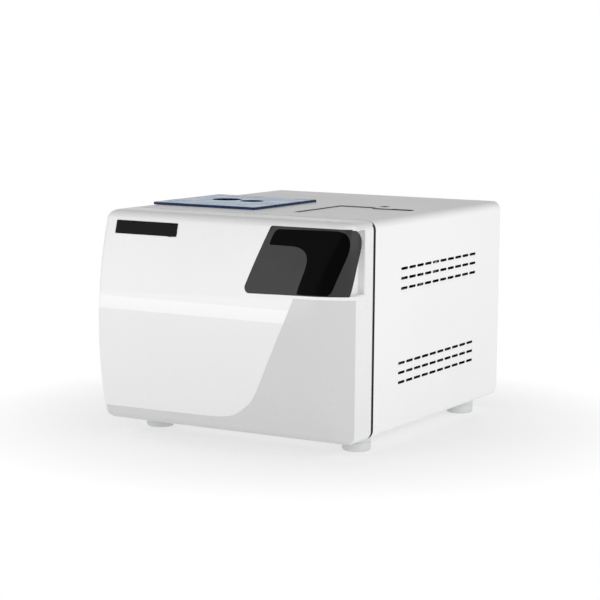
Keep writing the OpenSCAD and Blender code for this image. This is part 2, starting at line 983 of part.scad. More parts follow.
module power_rocker() {
  color([0.1, 0.5, 0.25])
    place()
      translate([0, 3, switch_z])
        rotate([-10, 0, 0]) {
          slab_x(switch_x - 7.8, switch_x + 7.8)
            polygon([[-5.5, -11], [-3.2, 0], [-5.5, 11], [0, 11.5], [4, 6], [4, -6], [0, -11.5]]);
          rod_x(1.5, switch_x - 9.2, switch_x + 9.2, 0, 0);
        }
}

module lock_body() {
  color([0.35, 0.37, 0.4])
    place()
      difference() {
        union() {
          bx(176, 224, 8, 48, cz - 24, cz + 24);
          bx(176, 224, frame_y + frame_t, 8.1, cz - 30, cz - 20);
          bx(176, 224, frame_y + frame_t, 8.1, cz + 20, cz + 30);
        }
        bx(202, 217.5, 0, 45, cz - 17, cz + 17);
        rod_x(5.06, 170, 222, lock_y, cz);
      }
}

module lock_bolt() {
  color([0.8, 0.81, 0.82])
    place() {
      rod_x(5, 148, 201, lock_y, cz);
      rod_x(10, 144, 152, lock_y, cz);
    }
}

// ---------- door ----------

module hinge_arms() {
  color([0.66, 0.67, 0.69])
    place()
      for (z = arm_z)
        difference() {
          union() {
            rod_z(8.5, z - 5, z + 5, hinge_x, hinge_y);
            bx(hinge_x, hinge_x + 44, hinge_y - 4, hinge_y + 4, z - 5, z + 5);
            bx(hinge_x + 36, hinge_x + 44, hinge_y - 4, -2, z - 5, z + 5);
            bx(hinge_x + 25, hinge_x + 60, -2.2, frame_y, z - 20, z + 20);
          }
          rod_z(5.06, z - 6, z + 6, hinge_x, hinge_y);
          for (dz = [-13, 13])
            rod_y(2.6, -4, 2, hinge_x + 40, z + dz);
        }
}

module hinge_pins() {
  color([0.8, 0.81, 0.82])
    place()
      for (z = arm_z) {
        rod_z(5, z - 17, z + 15.5, hinge_x, hinge_y);
        rod_z(7, z - 19, z - 16, hinge_x, hinge_y);
      }
}

module door_carrier() {
  color([0.6, 0.62, 0.64])
    place()
      difference() {
        union() {
          slab_y(-52, -46)
            polygon(round_rect(-234, 214, cz - 30, cz + 30, 6));
          slab_y(-52, -46)
            polygon(round_rect(-234, -196, 55, 296, 6));
          for (z = arm_z)
            for (dz = [-15.5, 6]) {
              rod_z(8.5, z + dz, z + dz + 9.5, hinge_x, hinge_y);
              bx(hinge_x - 7, hinge_x + 8.5, -47, hinge_y, z + dz, z + dz + 9.5);
            }
        }
        rod_y(8.2, -54, -44, cx, cz);
        for (z = arm_z)
          rod_z(5.02, z - 18, z + 18, hinge_x, hinge_y);
      }
}

module pressure_disc() {
  color([0.8, 0.81, 0.82])
    place()
      difference() {
        union() {
          rod_y(flange_r, -19, -7, cx, cz);
          rod_y(28, -46, -18.9, cx, cz);
          rod_y(8, -68, -45.9, cx, cz);
        }
        turned_y(cx, cz)
          translate([128.95, -13])
            square([10.1, 7]);
      }
}

module door_gasket() {
  color([0.82, 0.35, 0.25])
    place()
      turned_y(cx, cz)
        polygon([[129, -12.95], [139, -12.95], [139, -7], [137, -4.05], [131, -4.05], [129, -7]]);
}

module centre_nut() {
  color([0.75, 0.76, 0.78])
    place()
      difference() {
        slab_y(-64, -52.05)
          polygon(hexagon(cx, cz, 15));
        rod_y(8.05, -66, -50, cx, cz);
      }
}

module door_catch() {
  color([0.7, 0.71, 0.73])
    place()
      difference() {
        union() {
          slab_x(tongue_x, tongue_x + 5)
            polygon([[-46, cz - 20], [-20, cz - 14], [34, cz - 14], [40, cz - 9], [40, cz + 9],
              [34, cz + 14], [-20, cz + 14], [-46, cz + 20]]);
          bx(190, tongue_x + 0.1, -46, -43, cz - 20, cz + 20);
        }
        rod_x(6.2, tongue_x - 1, tongue_x + 6, lock_y, cz);
      }
}

// Solid behind the finger grip on the right edge of the cover.
module grip_block(g) {
  bx(224 - g, hx + 1, -90, -31 + g, 238.5 - g, 350.5 + g);
}

module door_cover() {
  color([0.95, 0.95, 0.95])
    place()
      difference() {
        cover_solid(0);
        cover_solid(cover_wall, 0);
        difference() {
          slab_y(-120, -20)
            polygon(fascia_pts(0));
          cover_solid(1.25, 0);
        }
        difference() {
          slab_y(-120, -20)
            polygon(lens_pts(0.15));
          lens_solid(2.05, 0);
        }
        slab_y(-120, -20)
          polygon(round_rect(104, 196, 262, 312, 3));
        grip_block(0.1);
      }
}

module fascia_inlay() {
  color([0.8, 0.81, 0.82])
    place()
      intersection() {
        cover_skin(0, 1.2);
        slab_y(-120, -20)
          polygon(fascia_pts(0.1));
      }
}

module lens_surround() {
  color([0.25, 0.25, 0.26])
    place()
      difference() {
        intersection() {
          lens_skin();
          slab_y(-120, -20)
            polygon(lens_pts(0));
        }
        slab_y(-120, -20)
          polygon(window_pts(0.1));
      }
}

module display_window() {
  color([0.04, 0.04, 0.05])
    place()
      intersection() {
        lens_skin();
        slab_y(-120, -20)
          polygon(window_pts(0));
      }
}

module display_board() {
  color([0.1, 0.4, 0.25])
    place() {
      bx(76, 216, -54, -52, 250, 334);
      bx(100, 200, -61, -53.9, 258, 318);
      for (x = [82, 210])
        for (z = [255, 329])
          rod_y(3, -52.1, -44, x, z);
      for (i = [0:4])
        bx(90 + 22 * i, 102 + 22 * i, -52.1, -46, 262, 272);
    }
}

module grip_liner() {
  color([0.83, 0.84, 0.85])
    place()
      difference() {
        intersection() {
          grip_block(0);
          cover_solid(0);
        }
        bx(226, hx + 2, -95, -34, 241.5, 348.2);
        difference() {
          slab_y(-120, -20)
            polygon(lens_pts(0.15));
          lens_solid(2.05, 0);
        }
        difference() {
          slab_y(-120, -20)
            polygon(fascia_pts(0));
          cover_solid(1.25, 0);
        }
      }
}

module badge_plate() {
  color([0.06, 0.06, 0.07])
    place()
      intersection() {
        cover_skin(-0.8, 0);
        slab_y(-120, -20)
          polygon(badge_pts);
      }
}

module inner_panel() {
  color([0.92, 0.92, 0.92])
    place()
      difference() {
        union() {
          slab_y(-9, -6.5)
            intersection() {
              outline(cover_wall + 0.3);
              translate([-160, 0])
                square([case_w, case_h]);
            }
          bx(124, 230, -42, -7, 14, 114);
          bx(148, 214, -30, -7, 228, 296);
        }
        rod_y(flange_r + 1.5, -50, 0, cx, cz);
        bx(126, 228, -40, 0, 16, 112);
        bx(150, 212, -28, 0, 230, 294);
        bx(201, 218, -12, 0, cz - 18, cz + 18);
      }
}

// ---------- what is drawn ----------

case_shell();
base_tray();
rear_panel();
front_frame();
case_screws();
feet();
foot_screws();
chamber_vessel();
band_heaters();
chamber_insulation();
chamber_cradle();
tray_rack();
tray_top();
tray_middle();
tray_bottom();
water_tank();
tank_lid();
float_stem();
water_float();
printer_housing();
printer_lid();
paper_roll();
platen_roller();
vacuum_pump();
pump_motor();
solenoid_valves();
steam_generator();
condenser();
fan_frame();
fan_rotor();
main_board();
power_inlet();
safety_valve();
safety_ring();
outlet_stubs();
air_filter();
drain_taps();
tap_knob_clean();
tap_knob_used();
rocker_frame();
power_rocker();
hinge_arms();
hinge_pins();
door_carrier();
pressure_disc();
door_gasket();
centre_nut();
door_cover();
inner_panel();
fascia_inlay();
lens_surround();
display_window();
display_board();
grip_liner();
badge_plate();
door_catch();
lock_body();
lock_bolt();
hoses();
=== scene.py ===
"""Looks of the benchtop autoclave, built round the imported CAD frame. Lengths in the part tables are
millimetres in casing coordinates: y back from the door seam, z up from the casing's underside."""

import json
import math

import bmesh
import bpy
import numpy as np
from mathutils import Matrix, Vector
from mathutils.geometry import delaunay_2d_cdt


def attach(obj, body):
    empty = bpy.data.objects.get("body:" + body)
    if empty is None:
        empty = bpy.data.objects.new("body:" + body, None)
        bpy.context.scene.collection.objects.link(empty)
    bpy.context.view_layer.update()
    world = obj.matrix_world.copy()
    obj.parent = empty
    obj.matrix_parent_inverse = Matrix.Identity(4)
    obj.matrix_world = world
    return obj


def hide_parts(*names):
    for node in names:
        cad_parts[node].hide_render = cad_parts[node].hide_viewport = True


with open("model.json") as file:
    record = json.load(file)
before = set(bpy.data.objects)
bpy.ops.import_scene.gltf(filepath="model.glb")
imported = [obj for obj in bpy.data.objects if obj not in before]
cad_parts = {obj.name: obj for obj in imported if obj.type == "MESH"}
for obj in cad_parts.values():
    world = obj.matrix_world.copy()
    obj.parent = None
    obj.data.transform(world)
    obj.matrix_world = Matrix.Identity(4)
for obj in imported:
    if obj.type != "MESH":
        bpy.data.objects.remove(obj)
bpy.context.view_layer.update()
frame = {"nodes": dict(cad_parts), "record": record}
NODES = frame["nodes"]

# ---------------------------------------------------------------- dimensions, mm
CASE_W, CASE_H, CASE_D = 480.0, 358.0, 490.0
HX = CASE_W / 2
FOOT_H = 26.0
APEX = 97.0  # furthest reach of the front ahead of the seam
REAR_OUT = 18.0  # how far the fittings stand out behind the casing
SEAM = (APEX - CASE_D - REAR_OUT) / 2  # the door seam's y in the row frame
CORNER_R = 15.0
SHEET = 2.0
GAP = 3.5  # open joint between the door and the casing
FACE_R, BROW_R, BULGE_Z = 590.0, 18.0, 168.0  # side profile: face, rounded brows, height of the apex


def pt(x, y, z):
    """Casing millimetres to row-frame metres."""
    return Vector((x / 1000, (y + SEAM) / 1000, (z + FOOT_H) / 1000))


# ---------------------------------------------------------------- material kit
class Nodes:
    """Small helper that adds and links shader nodes. The matt mask is where a tone paints shade and asks
    for no shine.
    """

    def __init__(self, name):
        self.mat = bpy.data.materials.new(name)
        self.mat.use_nodes = True
        self.tree = self.mat.node_tree
        self.bsdf = self.tree.nodes["Principled BSDF"]
        self.coord = self.add("ShaderNodeTexCoord").outputs["Object"]
        self.matt = None

    def add(self, kind, **values):
        node = self.tree.nodes.new(kind)
        for key, value in values.items():
            setattr(node, key, value)
        return node

    def link(self, out, socket):
        self.tree.links.new(out, socket)

    def noise(self, scale, detail=3.0, rough=0.5, stretch=None):
        node = self.add("ShaderNodeTexNoise")
        node.inputs["Scale"].default_value = scale
        node.inputs["Detail"].default_value = detail
        node.inputs["Roughness"].default_value = rough
        if stretch:
            mapping = self.add("ShaderNodeMapping")
            mapping.inputs["Scale"].default_value = stretch
            self.link(self.coord, mapping.inputs["Vector"])
            self.link(mapping.outputs["Vector"], node.inputs["Vector"])
        else:
            self.link(self.coord, node.inputs["Vector"])
        return node.outputs["Fac"]

    def remap(self, value, lo, hi, from_lo=0.3, from_hi=0.7):
        node = self.add("ShaderNodeMapRange")
        node.inputs["From Min"].default_value = from_lo
        node.inputs["From Max"].default_value = from_hi
        node.inputs["To Min"].default_value = lo
        node.inputs["To Max"].default_value = hi
        self.link(value, node.inputs["Value"])
        return node.outputs["Result"]

    def math(self, op, a, b):
        node = self.add("ShaderNodeMath", operation=op)
        for socket, value in zip(node.inputs, (a, b)):
            if isinstance(value, (int, float)):
                socket.default_value = value
            else:
                self.link(value, socket)
        return node.outputs["Value"]

    def rises(self, value, start, end):
        """0 up to start, 1 past end."""
        return self.remap(value, 0.0, 1.0, start, end)

    def falls(self, value, start, end):
        """1 up to start, 0 past end."""
        return self.remap(value, 1.0, 0.0, start, end)

    def both(self, a, b):
        return self.math("MULTIPLY", a, b)

    def axes(self):
        """The place on the piece as x, y and z."""
        split = self.add("ShaderNodeSeparateXYZ")
        self.link(self.coord, split.inputs["Vector"])
        return split.outputs["X"], split.outputs["Y"], split.outputs["Z"]

    def mix(self, fac, a, b):
        node = self.add("ShaderNodeMix", data_type="RGBA", blend_type="MIX")
        sockets = (node.inputs[0], node.inputs[6], node.inputs[7])
        for socket, value in zip(sockets, (fac, a, b)):
            if isinstance(value, (int, float)):
                socket.default_value = value
            elif isinstance(value, (tuple, list)):
                socket.default_value = (*value[:3], 1.0)
            else:
                self.link(value, socket)
        return node.outputs[2]

    def bump(self, height, strength, distance, normal=None):
        node = self.add("ShaderNodeBump")
        node.inputs["Strength"].default_value = strength
        node.inputs["Distance"].default_value = distance
        self.link(height, node.inputs["Height"])
        if normal is not None:
            self.link(normal, node.inputs["Normal"])
        return node.outputs["Normal"]


def shade(colour, factor):
    return tuple(min(1.0, c * factor) for c in colour[:3])


# How far each effect reaches, metres.
WORN_REACH = 0.0012
CREVICE = 0.005
ENCLOSED_REACH = 0.12
SHADE_BLACK = (0.006, 0.006, 0.006)
JOINT_SHADE_BLACK = (0.004, 0.004, 0.004)


def wear(n, base, worn, amount):
    """Rubbed edges: near an edge the worn colour shows through, broken up by noise."""
    round_edge = n.add("ShaderNodeBevel", samples=4)
    round_edge.inputs["Radius"].default_value = WORN_REACH
    geometry = n.add("ShaderNodeNewGeometry")
    turn = n.add("ShaderNodeVectorMath", operation="DOT_PRODUCT")
    n.link(round_edge.outputs["Normal"], turn.inputs[0])
    n.link(geometry.outputs["Normal"], turn.inputs[1])
    edge = n.remap(turn.outputs["Value"], amount, 0.0, 0.75, 0.97)
    return n.mix(n.both(edge, n.rises(n.noise(60, 4), 0.35, 0.65)), base, worn)


def openness(n, span, samples):
    """How open the place is within the span: 1 in the open, 0 shut in."""
    occlusion = n.add("ShaderNodeAmbientOcclusion")
    occlusion.inputs["Distance"].default_value = span
    occlusion.samples = samples
    return occlusion.outputs["AO"]


def crevice_dust_and_shade(n, base, crevice_colour, amount):
    """Darker in the crevices that ambient occlusion finds: partly grime, partly painted shade."""
    return n.mix(n.remap(openness(n, CREVICE, 6), amount, 0.0, 0.08, 0.5), base, crevice_colour)


def joint_shade(n, span):
    """Painted shade mask: 1 deep inside a narrow joint, 0 in the open."""
    return n.falls(openness(n, span, 8), 0.18, 0.42)


def shut_in_shade(n, base):
    """Painted shade: parts shut in by others are painted dark."""
    return n.mix(n.both(joint_shade(n, ENCLOSED_REACH), 0.96), base, SHADE_BLACK)


def paint(name, colour, rough=0.34, peel=0.25, worn=(0.6, 0.6, 0.6), edge=0.2, coat=0.0, gap=0.0,
          tone=None):
    """Powder coat or moulded gloss: orange peel, faint clouding, uneven sheen. With a gap the deep
    joints are painted dark as painted shade; tone adds a pattern of painted light and shade to the
    colour."""
    n = Nodes(name)
    cloud = n.remap(n.noise(7, 4), 0.0, 1.0)
    base = n.mix(cloud, shade(colour, 0.992), shade(colour, 1.008))
    if tone:
        base = tone(n, base)
    base = n.mix(n.remap(n.noise(240, 2), 0.0, 0.02), base, shade(colour, 0.9))
    base = crevice_dust_and_shade(n, wear(n, base, worn, edge), shade(colour, 0.62), 0.35)
    # Painted shade deep in the joints.
    if gap:
        base = n.mix(n.both(joint_shade(n, gap), 0.97), base, JOINT_SHADE_BLACK)
    n.link(base, n.bsdf.inputs["Base Color"])
    grain = n.remap(n.noise(900, 2), -0.02, 0.02)
    smears = n.math("ADD", n.remap(n.noise(22, 5, 0.6), -0.03, 0.04), grain)
    n.link(n.math("ADD", smears, rough), n.bsdf.inputs["Roughness"])
    n.bsdf.inputs["Coat Weight"].default_value = coat
    n.bsdf.inputs["Coat Roughness"].default_value = 0.08
    if n.matt:
        n.link(n.remap(n.matt, 0.5, 0.05, 0.0, 1.0), n.bsdf.inputs["Specular IOR Level"])
        n.link(n.remap(n.matt, coat, 0.0, 0.0, 1.0), n.bsdf.inputs["Coat Weight"])
    fine = n.bump(n.noise(700, 2), peel * 0.35, 0.0002)
    n.link(n.bump(n.noise(170, 2), peel, 0.0002, fine), n.bsdf.inputs["Normal"])
    return n.mat


# The painted highlight band's lower and upper edge, each a soft span of height above the casing's
# underside, metres.
BAND_FOOT, BAND_HEAD = (0.1925, 0.1940), (0.2144, 0.2156)
BAND_HIGHLIGHT, LOW_SHADE = (0.83, 0.83, 0.83), (0.735, 0.735, 0.735)


def front_painted_light(n, base):
    """The front's painted light and shade: a bright band across with a softer wedge above it, painted
    highlight where the face turns up; greyer below and darker towards the bottom, painted shade; and a
    dark lip down the rear edges of the sides, painted shade of the seam."""
    x, y, level = n.axes()
    z = n.math("SUBTRACT", level, FOOT_H / 1000)
    band = n.both(n.rises(z, *BAND_FOOT), n.falls(z, *BAND_HEAD))
    over_wedge = n.math("SUBTRACT", z, n.math("ADD", n.both(x, 0.030), 0.2295))
    wedge = n.both(n.falls(over_wedge, -0.004, 0.002), n.rises(z, *BAND_HEAD))
    shade_downward = n.math("ADD", n.both(n.falls(z, 0.02, 0.1933), 0.65), 0.35)
    under = n.both(n.falls(z, *BAND_FOOT), shade_downward)
    ahead = n.both(n.falls(y, (SEAM - 36) / 1000, (SEAM - 24) / 1000), n.falls(x, 0.2376, 0.2386))
    base = n.mix(n.both(wedge, n.both(ahead, 0.35)), base, BAND_HIGHLIGHT)
    base = n.mix(n.both(band, ahead), base, BAND_HIGHLIGHT)
    base = n.mix(n.both(under, ahead), base, LOW_SHADE)
    # Painted shade of the seam: the sides' rear edges go dark and matt.
    rear = n.rises(y, (SEAM - 8.0) / 1000, (SEAM - 7.6) / 1000)
    side = n.rises(n.math("ABSOLUTE", x, 0.0), (HX - 6) / 1000, (HX - 5) / 1000)
    n.matt = n.both(n.both(rear, side), n.falls(z, 0.351, 0.353))
    return n.mix(n.matt, base, SHADE_BLACK)


def plastic(name, colour, rough=0.45, grain=0.3, coat=0.0, spec=0.5, inside=False):
    """Moulded plastic with spark-eroded grain."""
    n = Nodes(name)
    base = n.mix(n.remap(n.noise(9, 4), 0.0, 1.0), shade(colour, 0.95), shade(colour, 1.04))
    base = wear(n, base, shade(colour, 1.35), 0.25)
    base = crevice_dust_and_shade(n, base, tuple(0.5 * c + 0.12 for c in colour[:3]), 0.25)
    # Painted shade where the part is shut in.
    if inside:
        base = shut_in_shade(n, base)
    n.link(base, n.bsdf.inputs["Base Color"])
    n.link(n.math("ADD", n.remap(n.noise(30, 5, 0.6), -0.06, 0.07), rough), n.bsdf.inputs["Roughness"])
    n.bsdf.inputs["Specular IOR Level"].default_value = spec
    n.bsdf.inputs["Coat Weight"].default_value = coat
    n.bsdf.inputs["Coat Roughness"].default_value = 0.05
    n.link(n.bump(n.noise(1600, 3, 0.7), grain, 0.00015), n.bsdf.inputs["Normal"])
    return n.mat


def gloss(name, colour, rough=0.06, spec=0.3):
    """Polished acrylic: nearly smooth, with hairline scratches and a few smears."""
    n = Nodes(name)
    base = n.mix(n.remap(n.noise(14, 3), 0.0, 1.0), shade(colour, 0.9), shade(colour, 1.12))
    n.link(base, n.bsdf.inputs["Base Color"])
    hair = n.noise(40, 6, 0.7, (1, 30, 6))
    n.link(n.math("ADD", n.remap(hair, 0.0, 0.05, 0.5, 0.8), rough), n.bsdf.inputs["Roughness"])
    n.bsdf.inputs["Specular IOR Level"].default_value = spec
    n.link(n.bump(n.noise(35, 2), 0.03, 0.0003), n.bsdf.inputs["Normal"])
    return n.mat


def metal(name, colour, rough=0.3, brush=(1, 60, 1), grain=0.25, tint=None, inside=False):
    """Sheet or turned metal with a brushed grain and heat or handling marks."""
    n = Nodes(name)
    streak = n.noise(90, 5, 0.65, brush)
    base = n.mix(n.remap(streak, 0.0, 1.0), shade(colour, 0.86), shade(colour, 1.08))
    base = n.mix(n.remap(n.noise(5, 4), 0.0, 0.35), base, tint or shade(colour, 0.8))
    base = crevice_dust_and_shade(n, base, shade(colour, 0.4), 0.4)
    # Painted shade where the part is shut in.
    if inside:
        base = shut_in_shade(n, base)
    n.link(base, n.bsdf.inputs["Base Color"])
    n.bsdf.inputs["Metallic"].default_value = 1.0
    n.link(n.math("ADD", n.remap(streak, -0.07, 0.10), rough), n.bsdf.inputs["Roughness"])
    n.link(n.bump(streak, grain, 0.00012), n.bsdf.inputs["Normal"])
    return n.mat


def spangle(name, colour):
    """Galvanised sheet with zinc flowers."""
    n = Nodes(name)
    cell = n.add("ShaderNodeTexVoronoi")
    cell.inputs["Scale"].default_value = 70
    n.link(n.coord, cell.inputs["Vector"])
    tone = n.add("ShaderNodeRGBToBW")
    n.link(cell.outputs["Color"], tone.inputs["Color"])
    base = n.mix(tone.outputs["Val"], shade(colour, 0.82), shade(colour, 1.1))
    n.link(crevice_dust_and_shade(n, base, shade(colour, 0.4), 0.4), n.bsdf.inputs["Base Color"])
    n.bsdf.inputs["Metallic"].default_value = 1.0
    n.link(n.remap(tone.outputs["Val"], 0.30, 0.48, 0.2, 0.8), n.bsdf.inputs["Roughness"])
    n.link(n.bump(n.noise(400, 3), 0.15, 0.0002), n.bsdf.inputs["Normal"])
    return n.mat


def felt(name, colour):
    """Glass-fibre blanket: tangled fibres and soft lumps."""
    n = Nodes(name)
    fibre = n.noise(260, 8, 0.75, (1, 4, 1))
    base = n.mix(n.remap(fibre, 0.0, 1.0), shade(colour, 0.78), shade(colour, 1.08))
    # Painted shade: the blanket goes dark where it is shut in.
    n.link(shut_in_shade(n, base), n.bsdf.inputs["Base Color"])
    n.bsdf.inputs["Roughness"].default_value = 0.95
    lumps = n.bump(n.noise(18, 3), 0.5, 0.004)
    n.link(n.bump(fibre, 0.9, 0.0012, lumps), n.bsdf.inputs["Normal"])
    return n.mat


def tinted(name, colour, depth=0.55, rough=0.12, spec=0.5):
    """Tinted clear acrylic sheet, frosted a little by handling."""
    n = Nodes(name)
    base = n.mix(n.remap(n.noise(10, 3), 0.0, 1.0), shade(colour, 0.94), shade(colour, 1.06))
    n.link(base, n.bsdf.inputs["Base Color"])
    n.bsdf.inputs["Transmission Weight"].default_value = depth
    n.bsdf.inputs["IOR"].default_value = 1.2
    n.bsdf.inputs["Specular IOR Level"].default_value = spec
    n.link(n.math("ADD", n.remap(n.noise(26, 5, 0.6), 0.0, 0.12), rough), n.bsdf.inputs["Roughness"])
    n.link(n.bump(n.noise(60, 2), 0.05, 0.0004), n.bsdf.inputs["Normal"])
    return n.mat


def board(name, colour):
    """Printed circuit board: solder mask with tracks and bright pads."""
    n = Nodes(name)
    brick = n.add("ShaderNodeTexBrick")
    brick.inputs["Scale"].default_value = 55
    brick.inputs["Mortar Size"].default_value = 0.03
    n.link(n.coord, brick.inputs["Vector"])
    base = n.mix(brick.outputs["Fac"], shade(colour, 0.9), shade(colour, 1.5))
    dots = n.add("ShaderNodeTexVoronoi")
    dots.inputs["Scale"].default_value = 330
    n.link(n.coord, dots.inputs["Vector"])
    pads = n.remap(dots.outputs["Distance"], 1.0, 0.0, 0.16, 0.2)
    base = n.mix(pads, base, (0.75, 0.72, 0.6))
    n.link(base, n.bsdf.inputs["Base Color"])
    n.link(n.both(pads, 0.9), n.bsdf.inputs["Metallic"])
    n.bsdf.inputs["Roughness"].default_value = 0.35
    n.link(n.bump(brick.outputs["Fac"], 0.3, 0.0002), n.bsdf.inputs["Normal"])
    return n.mat


def rim_painted_shade(n, base):
    """The wrap's cut edges are painted dark down the sides, painted shade in the slots and the joint,
    but white along the top's front and grey round the openings in the top, painted shade there too."""
    _, y, z = n.axes()
    rim = n.falls(y, (SEAM + 2) / 1000, (SEAM + 3) / 1000)
    high = n.rises(z, (FOOT_H + CASE_H - 4) / 1000, (FOOT_H + CASE_H - 3) / 1000)
    return n.mix(high, base, n.mix(rim, (0.07, 0.07, 0.07), (0.78, 0.78, 0.78)))


def seam_shade_border(n, base):
    """Dark strip along the outer border of the frame behind the door: painted shade of the door's seam.
    """
    x, _, z = n.axes()
    side = n.rises(n.math("ABSOLUTE", x, 0.0), (HX - 7) / 1000, (HX - 6.6) / 1000)
    off = n.math("ABSOLUTE", n.math("SUBTRACT", z, (FOOT_H + CASE_H / 2) / 1000), 0.0)
    level = n.rises(off, (CASE_H / 2 - 7) / 1000, (CASE_H / 2 - 6.6) / 1000)
    return n.mix(n.math("MAXIMUM", side, level), base, (0.012, 0.012, 0.013))


WHITE = (0.75, 0.75, 0.75)
# The finishes, by the record's material slot, with a few more that only this script uses.
M = {
    "painted_shell": paint("powder_coat_white", (0.82, 0.82, 0.82), 0.38, 0.2, (0.7, 0.7, 0.7), 0.15),
    "cut_edge": paint("sheet_edge_painted_shade", (0.012, 0.012, 0.013), 0.6, 0.2, (0.05, 0.05, 0.05), 0.1,
                      tone=rim_painted_shade),
    "painted_panel": paint("powder_coat_panel", (0.74, 0.745, 0.75), 0.42, 0.35, (0.5, 0.5, 0.52),
                           gap=0.03),
    "frame_panel": paint("powder_coat_frame", (0.74, 0.745, 0.75), 0.42, 0.35, (0.5, 0.5, 0.52),
                         gap=0.03, tone=seam_shade_border),
    "white_cover": paint("gloss_white_cover", WHITE, 0.3, 0.04, (0.9, 0.9, 0.9), 0.05, 0.2,
                         tone=front_painted_light),
    "grey_inlay": paint("grey_inlay", (0.57, 0.57, 0.57), 0.3, 0.04, (0.62, 0.62, 0.62), 0.1, 0.2),
    "lens": gloss("smoked_lens", (0.033, 0.033, 0.033), 0.16, 0.14),
    "window": gloss("display_black", (0.0012, 0.0012, 0.0012), 0.2, 0.02),
    "badge": gloss("badge_black", (0.003, 0.003, 0.003), 0.2, 0.06),
    "grip": plastic("grip_grey", (0.82, 0.82, 0.82), 0.4, 0.3),
    "inner_white": paint("inner_white", (0.74, 0.74, 0.745), 0.45, 0.3, (0.8, 0.8, 0.8), 0.1, gap=0.03),
    "lid_blue": tinted("lid_blue", (0.15, 0.37, 0.64), 0.30, 0.14, 0.42),
    "lid_edge": plastic("lid_edge_navy", (0.004, 0.018, 0.07), 0.25, 0.1, 0.0, 0.2),
    "tank": plastic("tank_natural", (0.70, 0.73, 0.76), 0.35, 0.2, inside=True),
    "foot": plastic("foot_grey", (0.62, 0.63, 0.64), 0.5, 0.5),
    "screw": metal("zinc_screw", (0.62, 0.63, 0.66), 0.28, (60, 60, 1), 0.15),
    "galvanised": spangle("galvanised_sheet", (0.56, 0.58, 0.6)),
    "stainless": metal("stainless_brushed", (0.62, 0.625, 0.63), 0.28, (1, 22, 22), 0.15),
    "polished": metal("stainless_polished", (0.7, 0.705, 0.71), 0.12, (1, 16, 16), 0.05),
    "heater": metal("heater_band", (0.42, 0.38, 0.3), 0.42, (60, 1, 60), 0.3, (0.25, 0.17, 0.1), True),
    "blanket": felt("fibre_blanket", (0.70, 0.66, 0.52)),
    "float": plastic("float_foam", (0.78, 0.78, 0.70), 0.7, 0.8),
    "dark": plastic("dark_plastic", (0.035, 0.037, 0.042), 0.45, 0.4),
    "paper": plastic("thermal_paper", (0.82, 0.82, 0.78), 0.75, 0.2),
    "rubber": plastic("black_rubber", (0.022, 0.022, 0.024), 0.8, 0.6, 0.0, 0.3),
    "alloy": metal("cast_alloy", (0.5, 0.51, 0.53), 0.42, (8, 8, 8), 0.45),
    "motor": paint("motor_enamel", (0.05, 0.058, 0.07), 0.35, 0.4, (0.3, 0.3, 0.3), 0.5),
    "copper": metal("copper_fins", (0.68, 0.42, 0.29), 0.3, (1, 1, 50), 0.2, (0.4, 0.26, 0.18), True),
    "pcb": board("solder_mask", (0.012, 0.10, 0.045)),
    "brass": metal("turned_brass", (0.66, 0.49, 0.2), 0.24, (40, 1, 40), 0.15, (0.42, 0.3, 0.12)),
    "filter": plastic("filter_white", (0.72, 0.76, 0.8), 0.35, 0.25),
    "knob_blue": plastic("knob_blue", (0.02, 0.12, 0.45), 0.32, 0.2, 0.2),
    "knob_grey": plastic("knob_grey", (0.13, 0.14, 0.16), 0.32, 0.2, 0.2),
    "rocker": plastic("rocker_green", (0.006, 0.17, 0.045), 0.25, 0.1, 0.3),
    "silicone": plastic("silicone_red", (0.52, 0.10, 0.05), 0.42, 0.2, 0.0, 0.4),
}
SLOT_OF = {s["node"]: s["material_slot"] for s in frame["record"]["subparts"]}


def smooth(obj, angle=30.0):
    obj.data.shade_smooth()
    obj.data.set_sharp_from_angle(angle=math.radians(angle))


def round_edges(obj, name, width, segments, angle):
    edge = obj.modifiers.new(name, "BEVEL")
    edge.width = width / 1000
    edge.segments = segments
    edge.limit_method = "ANGLE"
    edge.angle_limit = math.radians(angle)
    edge.use_clamp_overlap = True


def even_shading(obj):
    """Keeps flat faces flat beside their rounded edges."""
    weighted = obj.modifiers.new("shading", "WEIGHTED_NORMAL")
    weighted.keep_sharp = True


def dress(obj, slot, bevel):
    """Gives a mesh its finish, its bevelled edges and smooth shading between sharp edges."""
    obj.data.materials.clear()
    obj.data.materials.append(M[slot])
    if bevel:
        round_edges(obj, "edges", bevel, 2, 30.0)
    smooth(obj)
    if bevel:
        even_shading(obj)


# CAD nodes shown as they are, with how far their edges are broken (mm).
EDGE_BREAK = {
    "front_frame": 0.4, "rear_panel": 0.3, "base_tray": 0.4, "chamber_cradle": 0.4, "hinge_arms": 0.5,
    "door_carrier": 0.5, "door_catch": 0.5, "lock_body": 0.6, "power_inlet": 0.4, "rocker_frame": 0.3,
    "power_rocker": 0.3, "drain_taps": 0.3, "vacuum_pump": 0.6, "pump_motor": 0.8, "main_board": 0.2,
    "printer_housing": 0.5, "inner_panel": 0.6, "water_tank": 0.8, "solenoid_valves": 0.5,
    "steam_generator": 0.5, "fan_frame": 0.5, "display_board": 0.2, "air_filter": 0.5,
}
OWN_LOOK = {"front_frame": "frame_panel"}
for node_name, obj in NODES.items():
    dress(obj, OWN_LOOK.get(node_name, SLOT_OF[node_name]), EDGE_BREAK.get(node_name, 0.0))


# ---------------------------------------------------------------- mesh helpers
def mesh_object(name, bm):
    """Turns a bmesh into a scene object and frees it."""
    bm.normal_update()
    data = bpy.data.meshes.new(name)
    bm.to_mesh(data)
    bm.free()
    obj = bpy.data.objects.new(name, data)
    bpy.context.scene.collection.objects.link(obj)
    return obj


